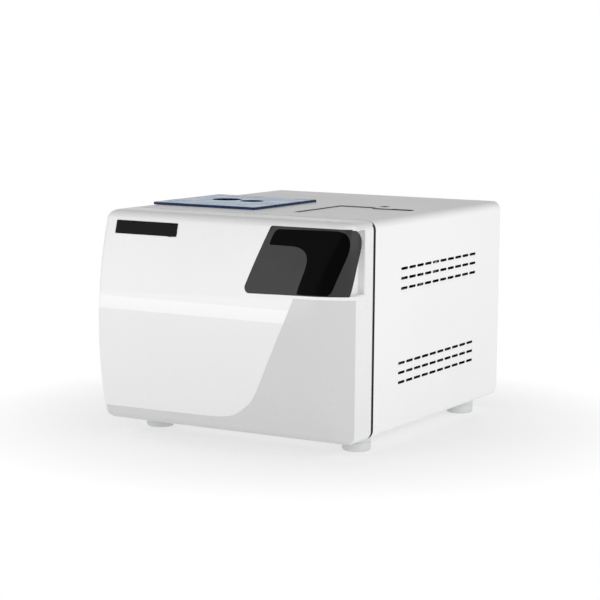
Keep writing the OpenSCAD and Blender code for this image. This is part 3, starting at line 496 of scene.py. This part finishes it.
def skin_object(name, faces, inside, quads=True):
    """Builds a mesh from faces given as lists of points in casing mm. Equal points are shared, and
    every face is turned away from the inside point."""
    bm = bmesh.new()
    pool = {}
    heart = pt(*inside)
    for face in faces:
        ring = []
        for p in face:
            key = tuple(round(c, 3) for c in p)
            if key not in pool:
                pool[key] = bm.verts.new(pt(*p))
            if pool[key] not in ring:
                ring.append(pool[key])
        if len(ring) > 2 and bm.faces.get(ring) is None:
            bm.faces.new(ring)
    bm.normal_update()
    for face in bm.faces:
        if face.normal.dot(face.calc_center_median() - heart) < 0:
            face.normal_flip()
    if quads:
        bmesh.ops.join_triangles(bm, faces=bm.faces, angle_face_threshold=math.radians(12),
                                 angle_shape_threshold=math.radians(50))
    return mesh_object(name, bm)


def thicken(obj, wall, edge=0.0, segments=2, even=True):
    """Gives an open skin its wall, inwards, and rounds the rim. Without even, corners get no extra
    thickness, which suits skins with slivers along their outline."""
    solid = obj.modifiers.new("wall", "SOLIDIFY")
    solid.thickness = wall / 1000
    solid.offset = -1
    solid.use_even_offset = even
    if edge:
        round_edges(obj, "rim", edge, segments, 50.0)
    even_shading(obj)


def rim_in(obj, name):
    """Gives a thickened skin's rim its own material."""
    obj.data.materials.append(M[name])
    obj.modifiers["wall"].material_offset_rim = 1


def finish_piece(obj, node, body, angle=35.0):
    """Finish, smooth shading, the body it rides on and the CAD node it stands for."""
    if not obj.data.materials:
        obj.data.materials.append(M[SLOT_OF[node]])
    smooth(obj, angle)
    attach(obj, body)
    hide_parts(node)


SHARE = 0.42  # of a side's length that a rounded corner may take up
SHARP_TURN = math.radians(45)
ARC_STEP = 11  # degrees


def soften(points, closed, sharp):
    """Rounds a polyline's corners: shallow turns over most of their sides, sharp ones by a small
    radius."""
    count = len(points)
    out = []
    for i, (x, z) in enumerate(points):
        if not closed and i in (0, count - 1):
            out.append((x, z))
            continue
        here = Vector((x, z))
        before = Vector(points[i - 1]) - here
        after = Vector(points[(i + 1) % count]) - here
        turn = math.pi - before.angle(after)
        reach_in = min(before.length, after.length) * SHARE
        if turn > SHARP_TURN:
            reach_in = min(reach_in, sharp)
        a = here + before.normalized() * reach_in
        b = here + after.normalized() * reach_in
        steps = max(2, math.ceil(math.degrees(turn) / ARC_STEP))
        for k in range(steps + 1):
            t = k / steps
            p = a * (1 - t) ** 2 + here * 2 * t * (1 - t) + b * t * t
            out.append((p.x, p.y))
    return out


def sides(points, closed=True):
    """The segments of a line of points."""
    return list(zip(points, points[1:] + points[:1] if closed else points[1:]))


def spaced(points, closed=True, low=1.6, high=7.0):
    """Drops points closer than low and splits gaps longer than high."""
    kept = [points[0]]
    for p in points[1:]:
        if math.dist(p, kept[-1]) >= low:
            kept.append(p)
    if closed and math.dist(kept[0], kept[-1]) < low:
        kept.pop()
    if not closed and kept[-1] != points[-1]:
        kept[-1] = points[-1]
    out = []
    for a, b in sides(kept, closed):
        parts = max(1, math.ceil(math.dist(a, b) / high))
        out += [(a[0] + (b[0] - a[0]) * k / parts, a[1] + (b[1] - a[1]) * k / parts)
                for k in range(parts)]
    if not closed:
        out.append(kept[-1])
    return out


def inside_polygon(x, z, polygon):
    hit = False
    for (x0, z0), (x1, z1) in sides(polygon):
        if (z0 > z) != (z1 > z) and x < x0 + (z - z0) * (x1 - x0) / (z1 - z0):
            hit = not hit
    return hit


def clear_of(points, chains, gap):
    """The points at least gap away from every chain. A chain is (points, closed)."""
    pts = np.array(points, float)
    close = np.zeros(len(pts), bool)
    for a, b in [side for chain in chains for side in sides(*chain)]:
        a, b = np.array(a, float), np.array(b, float)
        d = b - a
        t = np.clip(((pts - a) @ d) / max(d @ d, 1e-9), 0, 1)
        close |= np.hypot(*(pts - a - t[:, None] * d).T) < gap
    return [p for p, near in zip(points, close) if not near]


def middle(face, spots):
    """Centre of a triangle given by its points' numbers."""
    return [sum(spots[i][axis] for i in face) / 3 for axis in (0, 1)]


def triangulate(points, chains):
    """Delaunay triangles over the points that keep every chain's edges."""
    verts = [Vector(p) for p in points]
    edges = []
    for chain, closed in chains:
        start = len(verts)
        verts += [Vector(p) for p in chain]
        edges += [(start + i, start + i + 1) for i in range(len(chain) - 1)]
        if closed:
            edges.append((start + len(chain) - 1, start))
    found, _, faces, _, _, _ = delaunay_2d_cdt(verts, edges, [], 0, 1e-4)
    return [(p.x, p.y) for p in found], faces


# ---------------------------------------------------------------- the door's front surface
FACE_C = FACE_R - APEX
BLEND = 12.0  # over how much reach the two profiles run together
SWEEP_X, SWEEP_R = 80.0, 285.7  # plan curve: where the front starts to fall back, and its radius
SWEEP_C = APEX + BLEND - SWEEP_R
REAR = -GAP
LEFT_R, RIGHT_R = 6.0, 2.0
COVER_WALL, LENS_WALL, BADGE_WALL, GRIP_WALL = 3.0, 2.0, 0.9, 1.8
SKIN_EDGE = 0.3


def side_reach(z):
    """How far the front stands ahead of the seam, seen from the side."""
    inner = FACE_R - BROW_R
    for centre, sign in ((BROW_R, -1), (CASE_H - BROW_R, 1)):
        off = centre - BULGE_Z
        if sign * (z - BULGE_Z - FACE_R * off / inner) > 0:
            brow = math.sqrt(max(BROW_R ** 2 - (z - centre) ** 2, 0.0))
            return math.sqrt(inner ** 2 - off ** 2) - FACE_C + brow
    return math.sqrt(FACE_R ** 2 - (z - BULGE_Z) ** 2) - FACE_C


def reach(x, z):
    """The bulge seen from the side, falling back to the right, the two run together smoothly."""
    run = max(x - SWEEP_X, 0.0)
    a = side_reach(z)
    b = SWEEP_C + math.sqrt(SWEEP_R ** 2 - run ** 2)
    h = max(BLEND - abs(a - b), 0.0) / BLEND
    return min(a, b) - h * h * BLEND / 4


def half_width(z):
    """Half the casing's width at a height, narrower in the rounded corners."""
    d = min(z, CASE_H - z)
    if d >= CORNER_R:
        return HX
    return HX - CORNER_R + math.sqrt(max(CORNER_R ** 2 - (CORNER_R - d) ** 2, 0.0))


def front(x, z, lift=0.0):
    """Point on the front surface, or lifted off it along its normal."""
    here = Vector((x, -reach(x, z), z))
    if lift:
        e = 0.2
        dx = Vector((2 * e, -reach(x + e, z) + reach(x - e, z), 0))
        top, low = min(z + e, CASE_H), z - e
        dz = Vector((0, -reach(x, top) + reach(x, low), top - low))
        here += dx.cross(dz).normalized() * lift
    return tuple(here)


def brow_levels(step):
    """Heights up the lower brow, evenly spaced in angle."""
    return [BROW_R * (1 - math.cos(math.radians(a))) for a in range(0, 91, step)]


def mirrored(levels):
    return [CASE_H - z for z in reversed(levels)]


def steps_between(a, b, n):
    """n steps from a up to, but not including, b."""
    return [a + (b - a) * i / n for i in range(n)]


EDGE_Z = brow_levels(9)[:-1]
FASCIA_Z = (23.5, 235.0)
GRIP_Z = (241.5, CASE_H - EDGE_Z[7])
GRIP_X, GRIP_Y = 226.0, -34.0
GRIP_SET_BACK = 2.4  # the liner's mouth lies this far behind the face
LEVELS = (EDGE_Z + steps_between(*FASCIA_Z, 34) + [FASCIA_Z[1]]
          + steps_between(GRIP_Z[0], CASE_H - EDGE_Z[9], 16) + mirrored(EDGE_Z))
COLUMNS = 78

# Distance along the side profile from the bottom edge, so that triangles stay even round the brows.
PROFILE = [0.0]
PROFILE_Z = sorted(set(brow_levels(2) + [BROW_R + i * (CASE_H - 2 * BROW_R) / 160 for i in range(161)]
                       + mirrored(brow_levels(2))))
for low, high in zip(PROFILE_Z, PROFILE_Z[1:]):
    PROFILE.append(PROFILE[-1] + math.hypot(high - low, side_reach(high) - side_reach(low)))


def along(z):
    return float(np.interp(z, PROFILE_Z, PROFILE))


def height(v):
    return float(np.interp(v, PROFILE, PROFILE_Z))


def laid_flat(points):
    """(x, z) to (x, distance along the side profile)."""
    return [(x, along(z)) for x, z in points]


def cut_sheet(points, rings, gap):
    """Triangulates rings and the points well clear of them. Returns the points as (x, z) and the
    triangles."""
    chains = [(laid_flat(ring), True) for ring in rings]
    verts, faces = triangulate(clear_of(laid_flat(points), chains, gap), chains)
    return [(x, height(v)) for x, v in verts], faces


# Outlines on the front as (x, z). FASCIA_LINE is the grey inlay's upper left edge.
LENS = [(150, 240), (55, 237.5), (50.5, 241), (48.5, 247.5), (85.5, 347.5), (222, 347.9), (229.2, 348.1),
        (233.3, 346.8), (236.5, 344.5), (238.4, 339.5), (239.3, 334.5), (239.7, 326.2), (239.5, 316.8),
        (238.9, 307.5), (236.7, 287), (234.6, 268), (231.5, 249), (229.4, 240.2)]
WINDOW = [(86.6, 317.3), (90.1, 329.5), (94, 338.5), (98.9, 342.7), (158, 343.9), (212, 344.6),
          (222.3, 341.3), (227.9, 333.6), (229.4, 324.1), (227.9, 311.4), (220, 289), (209.1, 260.1),
          (204.9, 248.8), (201, 243.4), (197.7, 241.6), (146.1, 241.6), (150.1, 257.2), (155.8, 273.4),
          (159.5, 287.9), (160.1, 297.3), (157.9, 305), (152.6, 311), (142.6, 315.8), (131.4, 317)]
FASCIA_LINE = [(141.3, 235), (135.5, 218.8), (124.8, 192.3), (113, 165.4), (101.2, 138.2), (88.1, 110.5),
               (74.7, 82.4), (66.8, 68.1), (57.4, 55.2), (45, 45.5), (32, 36), (18, 29.5), (-3, 26.2),
               (-27, 25), (-75, 24.5), (-120, 24)]
BADGE = [(-216, 341.3), (-93, 341.3), (-93, 319.3), (-216, 319.3)]
BADGE_LIFT = 0.85
OPENING_X = 234.0  # the cover's opening for the lens ends here

# The lens rolls round the right corner on its own larger radius, meeting the side at ROLL_D.
ROLL_D = 43.0
ROLL_BACK = ROLL_D - SWEEP_C
ROLL_R = (SWEEP_R ** 2 - (HX - SWEEP_X) ** 2 - ROLL_BACK ** 2) / (2 * (SWEEP_R - HX + SWEEP_X))
ROLL_MID = HX - ROLL_R
ROLL_A = math.asin((ROLL_MID - SWEEP_X) / (SWEEP_R - ROLL_R))
ROLL_X = ROLL_MID + ROLL_R * math.sin(ROLL_A)


def unrolled(x):
    """Distance along the lens's plan curve for an x, in x's own measure up to the roll."""
    if x <= ROLL_X:
        return x
    return ROLL_X + ROLL_R * (math.asin(min((x - ROLL_MID) / ROLL_R, 1.0)) - ROLL_A)


def rolled(u, z):
    """Point on the lens for a distance along its plan curve."""
    if u <= ROLL_X:
        return front(u, z)
    a = ROLL_A + (u - ROLL_X) / ROLL_R
    fall = ROLL_R * (math.cos(ROLL_A) - math.cos(a))
    return ROLL_MID + ROLL_R * math.sin(a), fall - reach(ROLL_X, z), z


def unrolled_outline(points):
    return spaced(soften([(unrolled(x), z) for x, z in points], True, 3.0))


def build_lens():
    """Smoked lens with the black display window flush in it."""
    lens, window = unrolled_outline(LENS), unrolled_outline(WINDOW)
    grid = [(x, z) for x in range(52, 254, 5) for z in range(240, 349, 5) if inside_polygon(x, z, lens)]
    spots, faces = cut_sheet(grid, (lens, window), 2.4)
    parts = {"lens_surround": [], "display_window": []}
    for face in faces:
        centre = middle(face, spots)
        if inside_polygon(*centre, lens):
            kind = "display_window" if inside_polygon(*centre, window) else "lens_surround"
            parts[kind].append([rolled(*spots[i]) for i in face])
    for node, skin in parts.items():
        obj = skin_object("skin_" + node, skin, (150, 0, 294))
        thicken(obj, LENS_WALL, SKIN_EDGE, even=False)
        finish_piece(obj, node, "door")


def left_end(z):
    return -half_width(z) + LEFT_R


def right_end(z):
    return half_width(z) - RIGHT_R


def front_row(z):
    """The front's columns at a height, from the left end to the right."""
    left, right = left_end(z), right_end(z)
    return [left + (right - left) * j / COLUMNS for j in range(COLUMNS + 1)]


def left_row(z):
    """The cover's left wall at a height: from the seam forward and round into the front."""
    hw, f = half_width(z), reach(left_end(z), z)
    wall = [(-hw, REAR - (f - LEFT_R + REAR) * t, z) for t in (0, 0.35, 0.7)]
    corner = [(-hw + LEFT_R * (1 - math.cos(a)), -(f - LEFT_R + LEFT_R * math.sin(a)), z)
              for a in (math.radians(18 * k) for k in range(5))]
    return wall + corner + [(left_end(z), -f, z)]


def right_row(z):
    """The cover's right wall at a height, from the front back to the seam."""
    hw, f = half_width(z), reach(right_end(z), z)
    return [(right_end(z), -f, z), (hw - 0.6, -f + 0.6, z), (hw, -f + RIGHT_R, z), (hw, GRIP_Y, z),
            (hw, -18.0, z), (hw, REAR, z)]


def strip(a, b):
    """Quads between two rows of points."""
    return [[a[i], a[i + 1], b[i + 1], b[i]] for i in range(len(a) - 1)]


def front_pieces():
    """The front surface cut along its outlines into cover and inlay, open at the lens and the grip."""
    lens = spaced([(min(u, OPENING_X), z) for u, z in unrolled_outline(LENS)])
    low, high = FASCIA_Z
    fascia_end = ([(right_end(high), high)] + spaced(soften(FASCIA_LINE, False, 3.0), False)
                  + [(left_end(low), low)])
    past = right_end(high) + 3
    notch_rim = [(past, GRIP_Z[0]), (GRIP_X, GRIP_Z[0]), (GRIP_X, GRIP_Z[1]), (past, GRIP_Z[1])]
    border = ([(left_end(z), z) for z in LEVELS] + [(x, CASE_H) for x in front_row(CASE_H)[1:-1]]
              + [(right_end(z), z) for z in reversed(LEVELS)]
              + [(x, 0.0) for x in reversed(front_row(0.0)[1:-1])])
    grid = [(x, z) for z in LEVELS[1:-1] for x in front_row(z)[1:-1]]
    chains = [(laid_flat(line), closed) for line, closed in (
        (border, True), (lens, True), (spaced(fascia_end, False), False), (notch_rim, False))]
    exact = {(round(x, 2), round(along(z), 2)): (x, z) for x, z in grid + border + lens}
    verts, faces = triangulate(clear_of(laid_flat(grid), chains[1:], 2.6), chains)
    spots = [exact.get((round(x, 2), round(v, 2)), (x, height(v))) for x, v in verts]
    fascia_area = fascia_end + [(left_end(low) - 9, low), (-HX - 9, -9), (HX + 9, -9), (HX + 9, high)]
    parts = {"door_cover": [], "fascia_inlay": []}
    for face in faces:
        x, z = middle(face, spots)
        if x > right_end(z) or x < left_end(z):
            continue
        if inside_polygon(x, z, lens) or (x > GRIP_X and GRIP_Z[0] < z < GRIP_Z[1]):
            continue
        kind = "fascia_inlay" if inside_polygon(x, z, fascia_area) else "door_cover"
        parts[kind].append([front(*spots[i]) for i in face])
    return parts


def build_front():
    """Cover and inlay with the cover's side walls and the top and bottom edges."""
    parts = front_pieces()
    for low, high in zip(LEVELS, LEVELS[1:]):
        parts["door_cover"] += strip(left_row(low), left_row(high))
        gripped = GRIP_Z[0] <= low and high <= GRIP_Z[1]
        parts["door_cover"] += strip(right_row(low), right_row(high))[3 if gripped else 0:]
    for z, kind in ((0.0, "fascia_inlay"), (CASE_H, "door_cover")):
        rear = [(x, REAR, z) for x in front_row(z)]
        parts[kind] += strip([front(x, z) for x in front_row(z)], rear)
        parts["door_cover"].append(left_row(z) + [rear[0]])
        parts["door_cover"].append(right_row(z) + [rear[-1]])
    for node, faces in parts.items():
        obj = skin_object("skin_" + node, faces, (0, -15, 179))
        thicken(obj, COVER_WALL, SKIN_EDGE)
        finish_piece(obj, node, "door")


def build_badge():
    """Blank name badge, a thin plate following the front."""
    outline = spaced(soften(BADGE, True, 1.6), True, 0.5, 6.0)
    grid = [(x, z) for x in range(-214, -88, 6) for z in range(307, 348, 5)
            if inside_polygon(x, z, outline)]
    spots, faces = cut_sheet(grid, (outline,), 2.4)
    skin = [[front(*spots[i], BADGE_LIFT) for i in face] for face in faces
            if inside_polygon(*middle(face, spots), outline)]
    obj = skin_object("badge", skin, (0, 60, 179))
    thicken(obj, BADGE_WALL, 0.25, 3, even=False)
    finish_piece(obj, "badge_plate", "door")


def build_grip():
    """Moulded pocket for the fingers beside the lens: a wall, a rear face and two shelves."""
    levels = [z for z in LEVELS if GRIP_Z[0] <= z <= GRIP_Z[1]]
    shares = (0, 0.33, 0.66, 1)
    xs = [GRIP_X + (HX - GRIP_X) * t for t in shares]

    def forward(x, z, t):
        """Point at share t of the way from the rear face to the pocket's mouth."""
        mouth = GRIP_SET_BACK - reach(min(x, HX - RIGHT_R), z)
        return x, GRIP_Y + (mouth - GRIP_Y) * t, z

    faces = []
    for low, high in zip(levels, levels[1:]):
        faces += strip([forward(GRIP_X, low, t) for t in shares],
                       [forward(GRIP_X, high, t) for t in shares])
        faces += strip([(x, GRIP_Y, low) for x in xs], [(x, GRIP_Y, high) for x in xs])
    for z in (levels[0], levels[-1]):
        for x0, x1 in zip(xs, xs[1:]):
            for t0, t1 in zip(shares, shares[1:]):
                faces.append([forward(x0, z, t0), forward(x1, z, t0),
                              forward(x1, z, t1), forward(x0, z, t1)])
    obj = skin_object("grip_pocket", faces, (300, -120, 294), False)
    for polygon in obj.data.polygons:
        polygon.flip()
    obj.data.update()
    thicken(obj, -GRIP_WALL, 2.0, 4)
    finish_piece(obj, "grip_liner", "door", angle=50)


# ---------------------------------------------------------------- casing
# The casing is a sheet wrapped round, starting and ending in the middle of the underside. s is the
# distance along the wrap, and each S_ is where a flat side starts.
FLAT_X, FLAT_Z, QUARTER = CASE_W - 2 * CORNER_R, CASE_H - 2 * CORNER_R, math.pi * CORNER_R / 2
S_RIGHT = FLAT_X / 2 + QUARTER
S_TOP = S_RIGHT + FLAT_Z + QUARTER
S_LEFT = S_TOP + FLAT_X + QUARTER
S_END = S_LEFT + FLAT_Z + QUARTER + FLAT_X / 2
IN_X, IN_Z = HX - CORNER_R, CASE_H - CORNER_R
WRAP = [("line", (0, 0), (1, 0), FLAT_X / 2), ("arc", (IN_X, CORNER_R), -90, QUARTER),
        ("line", (HX, CORNER_R), (0, 1), FLAT_Z), ("arc", (IN_X, IN_Z), 0, QUARTER),
        ("line", (IN_X, CASE_H), (-1, 0), FLAT_X), ("arc", (-IN_X, IN_Z), 90, QUARTER),
        ("line", (-HX, IN_Z), (0, -1), FLAT_Z), ("arc", (-IN_X, CORNER_R), 180, QUARTER),
        ("line", (-IN_X, 0), (1, 0), FLAT_X / 2)]
FOLD_PARTS, CASE_ROWS, CASE_STEP = 6, 20, 24.0  # how finely folds, depth and flat sides are split

# Openings. A slot bank is its first slot's y and its rows' heights. The openings in the top are
# (x from, x to, y from, y to, corner radius).
SLOT_BANKS = ((105.3, (271.7, 255.4, 238.6)), (99.3, (113.6, 97.4, 81.0)))
SLOTS_A_ROW, SLOT_PITCH, SLOT_HALF_W, SLOT_HALF_L, SLOT_R = 10, 29.8, 2.3, 12.25, 2.25
TANK_OPENING = (-226, -34, 68, 274, 4)
LATCH_NOTCH = (115, 129, 250, 268, 0.5)
PAPER_WELL = [(200.5, 68), (200.5, 221.5), (195, 221.5), (195, 226.5), (155, 226.5), (155, 221.5),
              (117.5, 221.5), (117.5, 237), (46, 237), (46, 68)]
BELLY_HALF_W, BELLY_END = 170.0, 70
FOOT_X, FOOT_Y, FOOT_HOLE_R = 195, (28, CASE_D - 62), 2.9


def outline_point(s):
    """Point (x, z) on the casing's cross-section at distance s along the wrap."""
    for kind, start, way, length in WRAP:
        if s <= length + 1e-6:
            if kind == "line":
                return start[0] + way[0] * s, start[1] + way[1] * s
            angle = math.radians(way + 90 * s / length)
            return start[0] + CORNER_R * math.cos(angle), start[1] + CORNER_R * math.sin(angle)
        s -= length
    return 0.0, 0.0


def arc_points(ca, cb, r, angles):
    return [(ca + r * math.cos(a), cb + r * math.sin(a)) for a in angles]


def box_ring(a0, a1, b0, b1, r, n=4):
    """Rounded rectangle in a plane."""
    ring = []
    for ca, cb, start in ((a1 - r, b1 - r, 0), (a0 + r, b1 - r, 90), (a0 + r, b0 + r, 180),
                          (a1 - r, b0 + r, 270)):
        ring += arc_points(ca, cb, r, [math.radians(start + 90 * k / n) for k in range(n + 1)])
    return spaced(ring, True, 0.05, 25.0)


def circle_ring(ca, cb, r, n):
    return arc_points(ca, cb, r, [2 * math.pi * k / n for k in range(n)])


def top_s(x):
    """Distance along the wrap of an x on the casing's top."""
    return S_TOP + HX - CORNER_R - x


def case_openings():
    """The casing's openings, laid out flat as (s, y)."""
    holes = []
    for first, rows in SLOT_BANKS:
        for z in rows:
            for i in range(SLOTS_A_ROW):
                y = first + SLOT_PITCH * i
                for s in (S_RIGHT + z - CORNER_R, S_LEFT + CASE_H - CORNER_R - z):
                    holes.append(box_ring(s - SLOT_HALF_W, s + SLOT_HALF_W, y - SLOT_HALF_L,
                                          y + SLOT_HALF_L, SLOT_R, 5))
    well = spaced([(top_s(x), y) for x, y in PAPER_WELL], True, 0.05, 25.0)
    tank, notch = [box_ring(top_s(x1), top_s(x0), y0, y1, r)
                   for x0, x1, y0, y1, r in (TANK_OPENING, LATCH_NOTCH)]
    holes += [tank, well, notch]
    for s0, s1 in ((-1, BELLY_HALF_W), (S_END - BELLY_HALF_W, S_END + 1)):
        holes.append(box_ring(s0, s1, BELLY_END, CASE_D - BELLY_END, 0.9))
    for s in (S_END - FOOT_X, FOOT_X):
        holes += [circle_ring(s, y, FOOT_HOLE_R, 12) for y in FOOT_Y]
    return holes


def build_case():
    """The wrapped sheet, laid out flat, cut and then folded round its long edges."""
    holes = [(ring, True) for ring in case_openings()]
    stops = []
    for start in (FLAT_X / 2, S_TOP - QUARTER, S_TOP + FLAT_X, S_END - FLAT_X / 2 - QUARTER):
        stops += [start + QUARTER * k / FOLD_PARTS for k in range(FOLD_PARTS + 1)]
    columns = list(stops)
    for a, b in zip([0.0] + stops, stops + [S_END]):
        columns += steps_between(a, b, max(1, round((b - a) / CASE_STEP)))[1:]
    columns = sorted(set(round(c, 4) for c in columns))
    across = [0.0] + columns + [S_END]
    ys = [CASE_D * k / CASE_ROWS for k in range(CASE_ROWS + 1)]
    border = ([(s, 0.0) for s in across] + [(S_END, y) for y in ys[1:-1]]
              + [(s, CASE_D) for s in reversed(across)] + [(0.0, y) for y in reversed(ys[1:-1])])
    free = clear_of([(s, y) for s in columns for y in ys[1:-1]], holes, 4.0)
    folds = [([(s, y) for y in ys], False) for s in stops]
    verts, faces = triangulate(free, [(border, True)] + holes + folds)
    bounds = [(ring, [(min(c), max(c)) for c in zip(*ring)]) for ring, _ in holes]
    skin = []
    for face in faces:
        s, y = middle(face, verts)
        if not 0 < s < S_END or any(a < s < b and c < y < d and inside_polygon(s, y, ring)
                                    for ring, ((a, b), (c, d)) in bounds):
            continue
        points = []
        for i in face:
            x, z = outline_point(min(max(verts[i][0], 0.0), S_END))
            points.append((x, min(max(verts[i][1], 0.0), CASE_D), z))
        skin.append(points)
    obj = skin_object("casing_wrap", skin, (0, 245, 179))
    obj.data.materials.append(M["painted_shell"])
    thicken(obj, SHEET)
    # The cut edges take the dark rim finish: painted shade in the slots and the joints.
    rim_in(obj, "cut_edge")
    finish_piece(obj, "case_shell", "machine")


LID_HOLES = ((-157, 184, 26.0, 48), (-102, 179, 21.0, 40))  # centre, radius, points
LID_LIFT, LID_WALL = 4.5, 4.45
SKIRT_H = 4
SKIRT_OUT, SKIRT_IN = (-225.5, -34.5, 68.5, 273.5), (-223.5, -36.5, 70.5, 271.5)


def build_tank_lid():
    """Blue acrylic plate with polished dark edges and two holes."""
    outer = (box_ring(-234, -26, 62, 280, 4, 5), True)
    holes = [(circle_ring(*hole), True) for hole in LID_HOLES]
    grid = [(x, y) for x in range(-224, -30, 18) for y in range(72, 276, 17)]
    verts, faces = triangulate(clear_of(grid, holes, 3.0), [outer] + holes)
    skin = [[(*verts[i], CASE_H + LID_LIFT) for i in face] for face in faces
            if not any(inside_polygon(*middle(face, verts), ring) for ring, _ in holes)]
    obj = skin_object("tank_lid_plate", skin, (-130, 171, 0))
    obj.data.materials.append(M["lid_blue"])
    thicken(obj, LID_WALL, 0.5, 3)
    rim_in(obj, "lid_edge")
    finish_piece(obj, "tank_lid", "tank_lid")


def build_lid_skirt():
    """The low wall under the tank lid that drops into the tank's opening."""
    bm = bmesh.new()
    rings = [[bm.verts.new(pt(x, y, z)) for x, y in box_ring(*box, 3, 4)]
             for box, z in ((SKIRT_OUT, CASE_H), (SKIRT_OUT, CASE_H - SKIRT_H),
                            (SKIRT_IN, CASE_H - SKIRT_H), (SKIRT_IN, CASE_H))]
    for low, high in sides(rings):
        for (a, b), (c, d) in zip(sides(low), sides(high)):
            bm.faces.new((a, b, d, c))
    bmesh.ops.recalc_face_normals(bm, faces=bm.faces)
    skirt = mesh_object("tank_lid_skirt", bm)
    skirt.data.materials.append(M["lid_edge"])
    smooth(skirt)
    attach(skirt, "tank_lid")


build_front()
build_lens()
build_badge()
build_grip()
build_case()
build_tank_lid()
build_lid_skirt()


# ---------------------------------------------------------------- floor, light, camera
FLOOR_HALF = 6.0
GLOW_SPAN = (0.3, 0.62)  # metres from the middle over which the floor's own light comes up
GLOW_SHARE = (0.55, 1.0)


def build_floor():
    """Pale floor that lights itself away from the object, so that it runs out to white."""
    n = Nodes("pale_floor")
    base = n.mix(n.remap(n.noise(3, 3), 0.0, 1.0), (0.93, 0.93, 0.93), (0.94, 0.94, 0.94))
    n.link(base, n.bsdf.inputs["Base Color"])
    n.bsdf.inputs["Roughness"].default_value = 0.8
    n.bsdf.inputs["Specular IOR Level"].default_value = 0.1
    away = n.add("ShaderNodeVectorMath", operation="LENGTH")
    n.link(n.coord, away.inputs[0])
    glow = n.add("ShaderNodeEmission")
    glow.inputs["Strength"].default_value = 1.0
    blend = n.add("ShaderNodeMixShader")
    n.link(n.remap(away.outputs["Value"], *GLOW_SHARE, *GLOW_SPAN), blend.inputs["Fac"])
    n.link(n.bsdf.outputs["BSDF"], blend.inputs[1])
    n.link(glow.outputs["Emission"], blend.inputs[2])
    n.link(blend.outputs["Shader"], n.tree.nodes["Material Output"].inputs["Surface"])
    bm = bmesh.new()
    bm.faces.new([bm.verts.new((FLOOR_HALF * x, FLOOR_HALF * y, 0))
                  for x, y in ((-1, -1), (1, -1), (1, 1), (-1, 1))])
    floor = mesh_object("floor", bm)
    floor.data.materials.append(n.mat)


def area_light(name, place, aim, size, power):
    data = bpy.data.lights.new(name, "AREA")
    data.shape = "RECTANGLE"
    data.size, data.size_y = size
    data.energy = power
    lamp = bpy.data.objects.new(name, data)
    lamp.location = place
    lamp.rotation_euler = (Vector(aim) - Vector(place)).to_track_quat("-Z", "Y").to_euler()
    bpy.context.scene.collection.objects.link(lamp)


def build_world():
    """Soft light all round, white from below and greyer from above."""
    world = bpy.data.worlds.new("studio")
    bpy.context.scene.world = world
    world.use_nodes = True
    tree = world.node_tree
    background = tree.nodes["Background"]
    coord = tree.nodes.new("ShaderNodeTexCoord")
    split = tree.nodes.new("ShaderNodeSeparateXYZ")
    ramp = tree.nodes.new("ShaderNodeValToRGB")
    tree.links.new(coord.outputs["Generated"], split.inputs["Vector"])
    tree.links.new(split.outputs["Z"], ramp.inputs["Fac"])
    ramp.color_ramp.elements[0].position = 0.0
    ramp.color_ramp.elements[0].color = (1.0, 1.0, 1.0, 1)
    ramp.color_ramp.elements[1].position = 0.9
    ramp.color_ramp.elements[1].color = (0.22, 0.22, 0.22, 1)
    tree.links.new(ramp.outputs["Color"], background.inputs["Color"])
    background.inputs["Strength"].default_value = 1.02


VIEW_TURN, VIEW_RISE, VIEW_ROLL = (math.radians(a) for a in (29.76, 7.46, 0.54))
VIEW_TARGET = Vector((-0.0394, 0.0395, 0.2087))
VIEW_DISTANCE = 3.464
LENS_MM, SENSOR_MM = 115.5, 36.0


def build_camera():
    """Seen from the front right and a little above, with a long lens."""
    turn, rise, roll = VIEW_TURN, VIEW_RISE, VIEW_ROLL
    back = Vector((math.sin(turn) * math.cos(rise), -math.cos(turn) * math.cos(rise), math.sin(rise)))
    right = Vector((math.cos(turn), math.sin(turn), 0.0))
    up = back.cross(right)
    across = right * math.cos(roll) + up * math.sin(roll)
    above = up * math.cos(roll) - right * math.sin(roll)
    data = bpy.data.cameras.new("camera")
    data.lens = LENS_MM
    data.sensor_width = SENSOR_MM
    data.clip_start = 0.05
    data.clip_end = 50.0
    camera = bpy.data.objects.new("camera", data)
    frame_of_view = Matrix((across, above, back)).transposed().to_4x4()
    camera.matrix_world = Matrix.Translation(VIEW_TARGET + back * VIEW_DISTANCE) @ frame_of_view
    bpy.context.scene.collection.objects.link(camera)
    bpy.context.scene.camera = camera


build_floor()
build_world()
area_light("key", (-1.2, -2.9, 1.0), (0, -0.2, 0.25), (2.6, 1.8), 26)
area_light("fill_right", (2.8, -0.7, 1.0), (0, 0, 0.25), (2.4, 1.8), 26)
build_camera()
bpy.context.scene.view_settings.view_transform = "Standard"
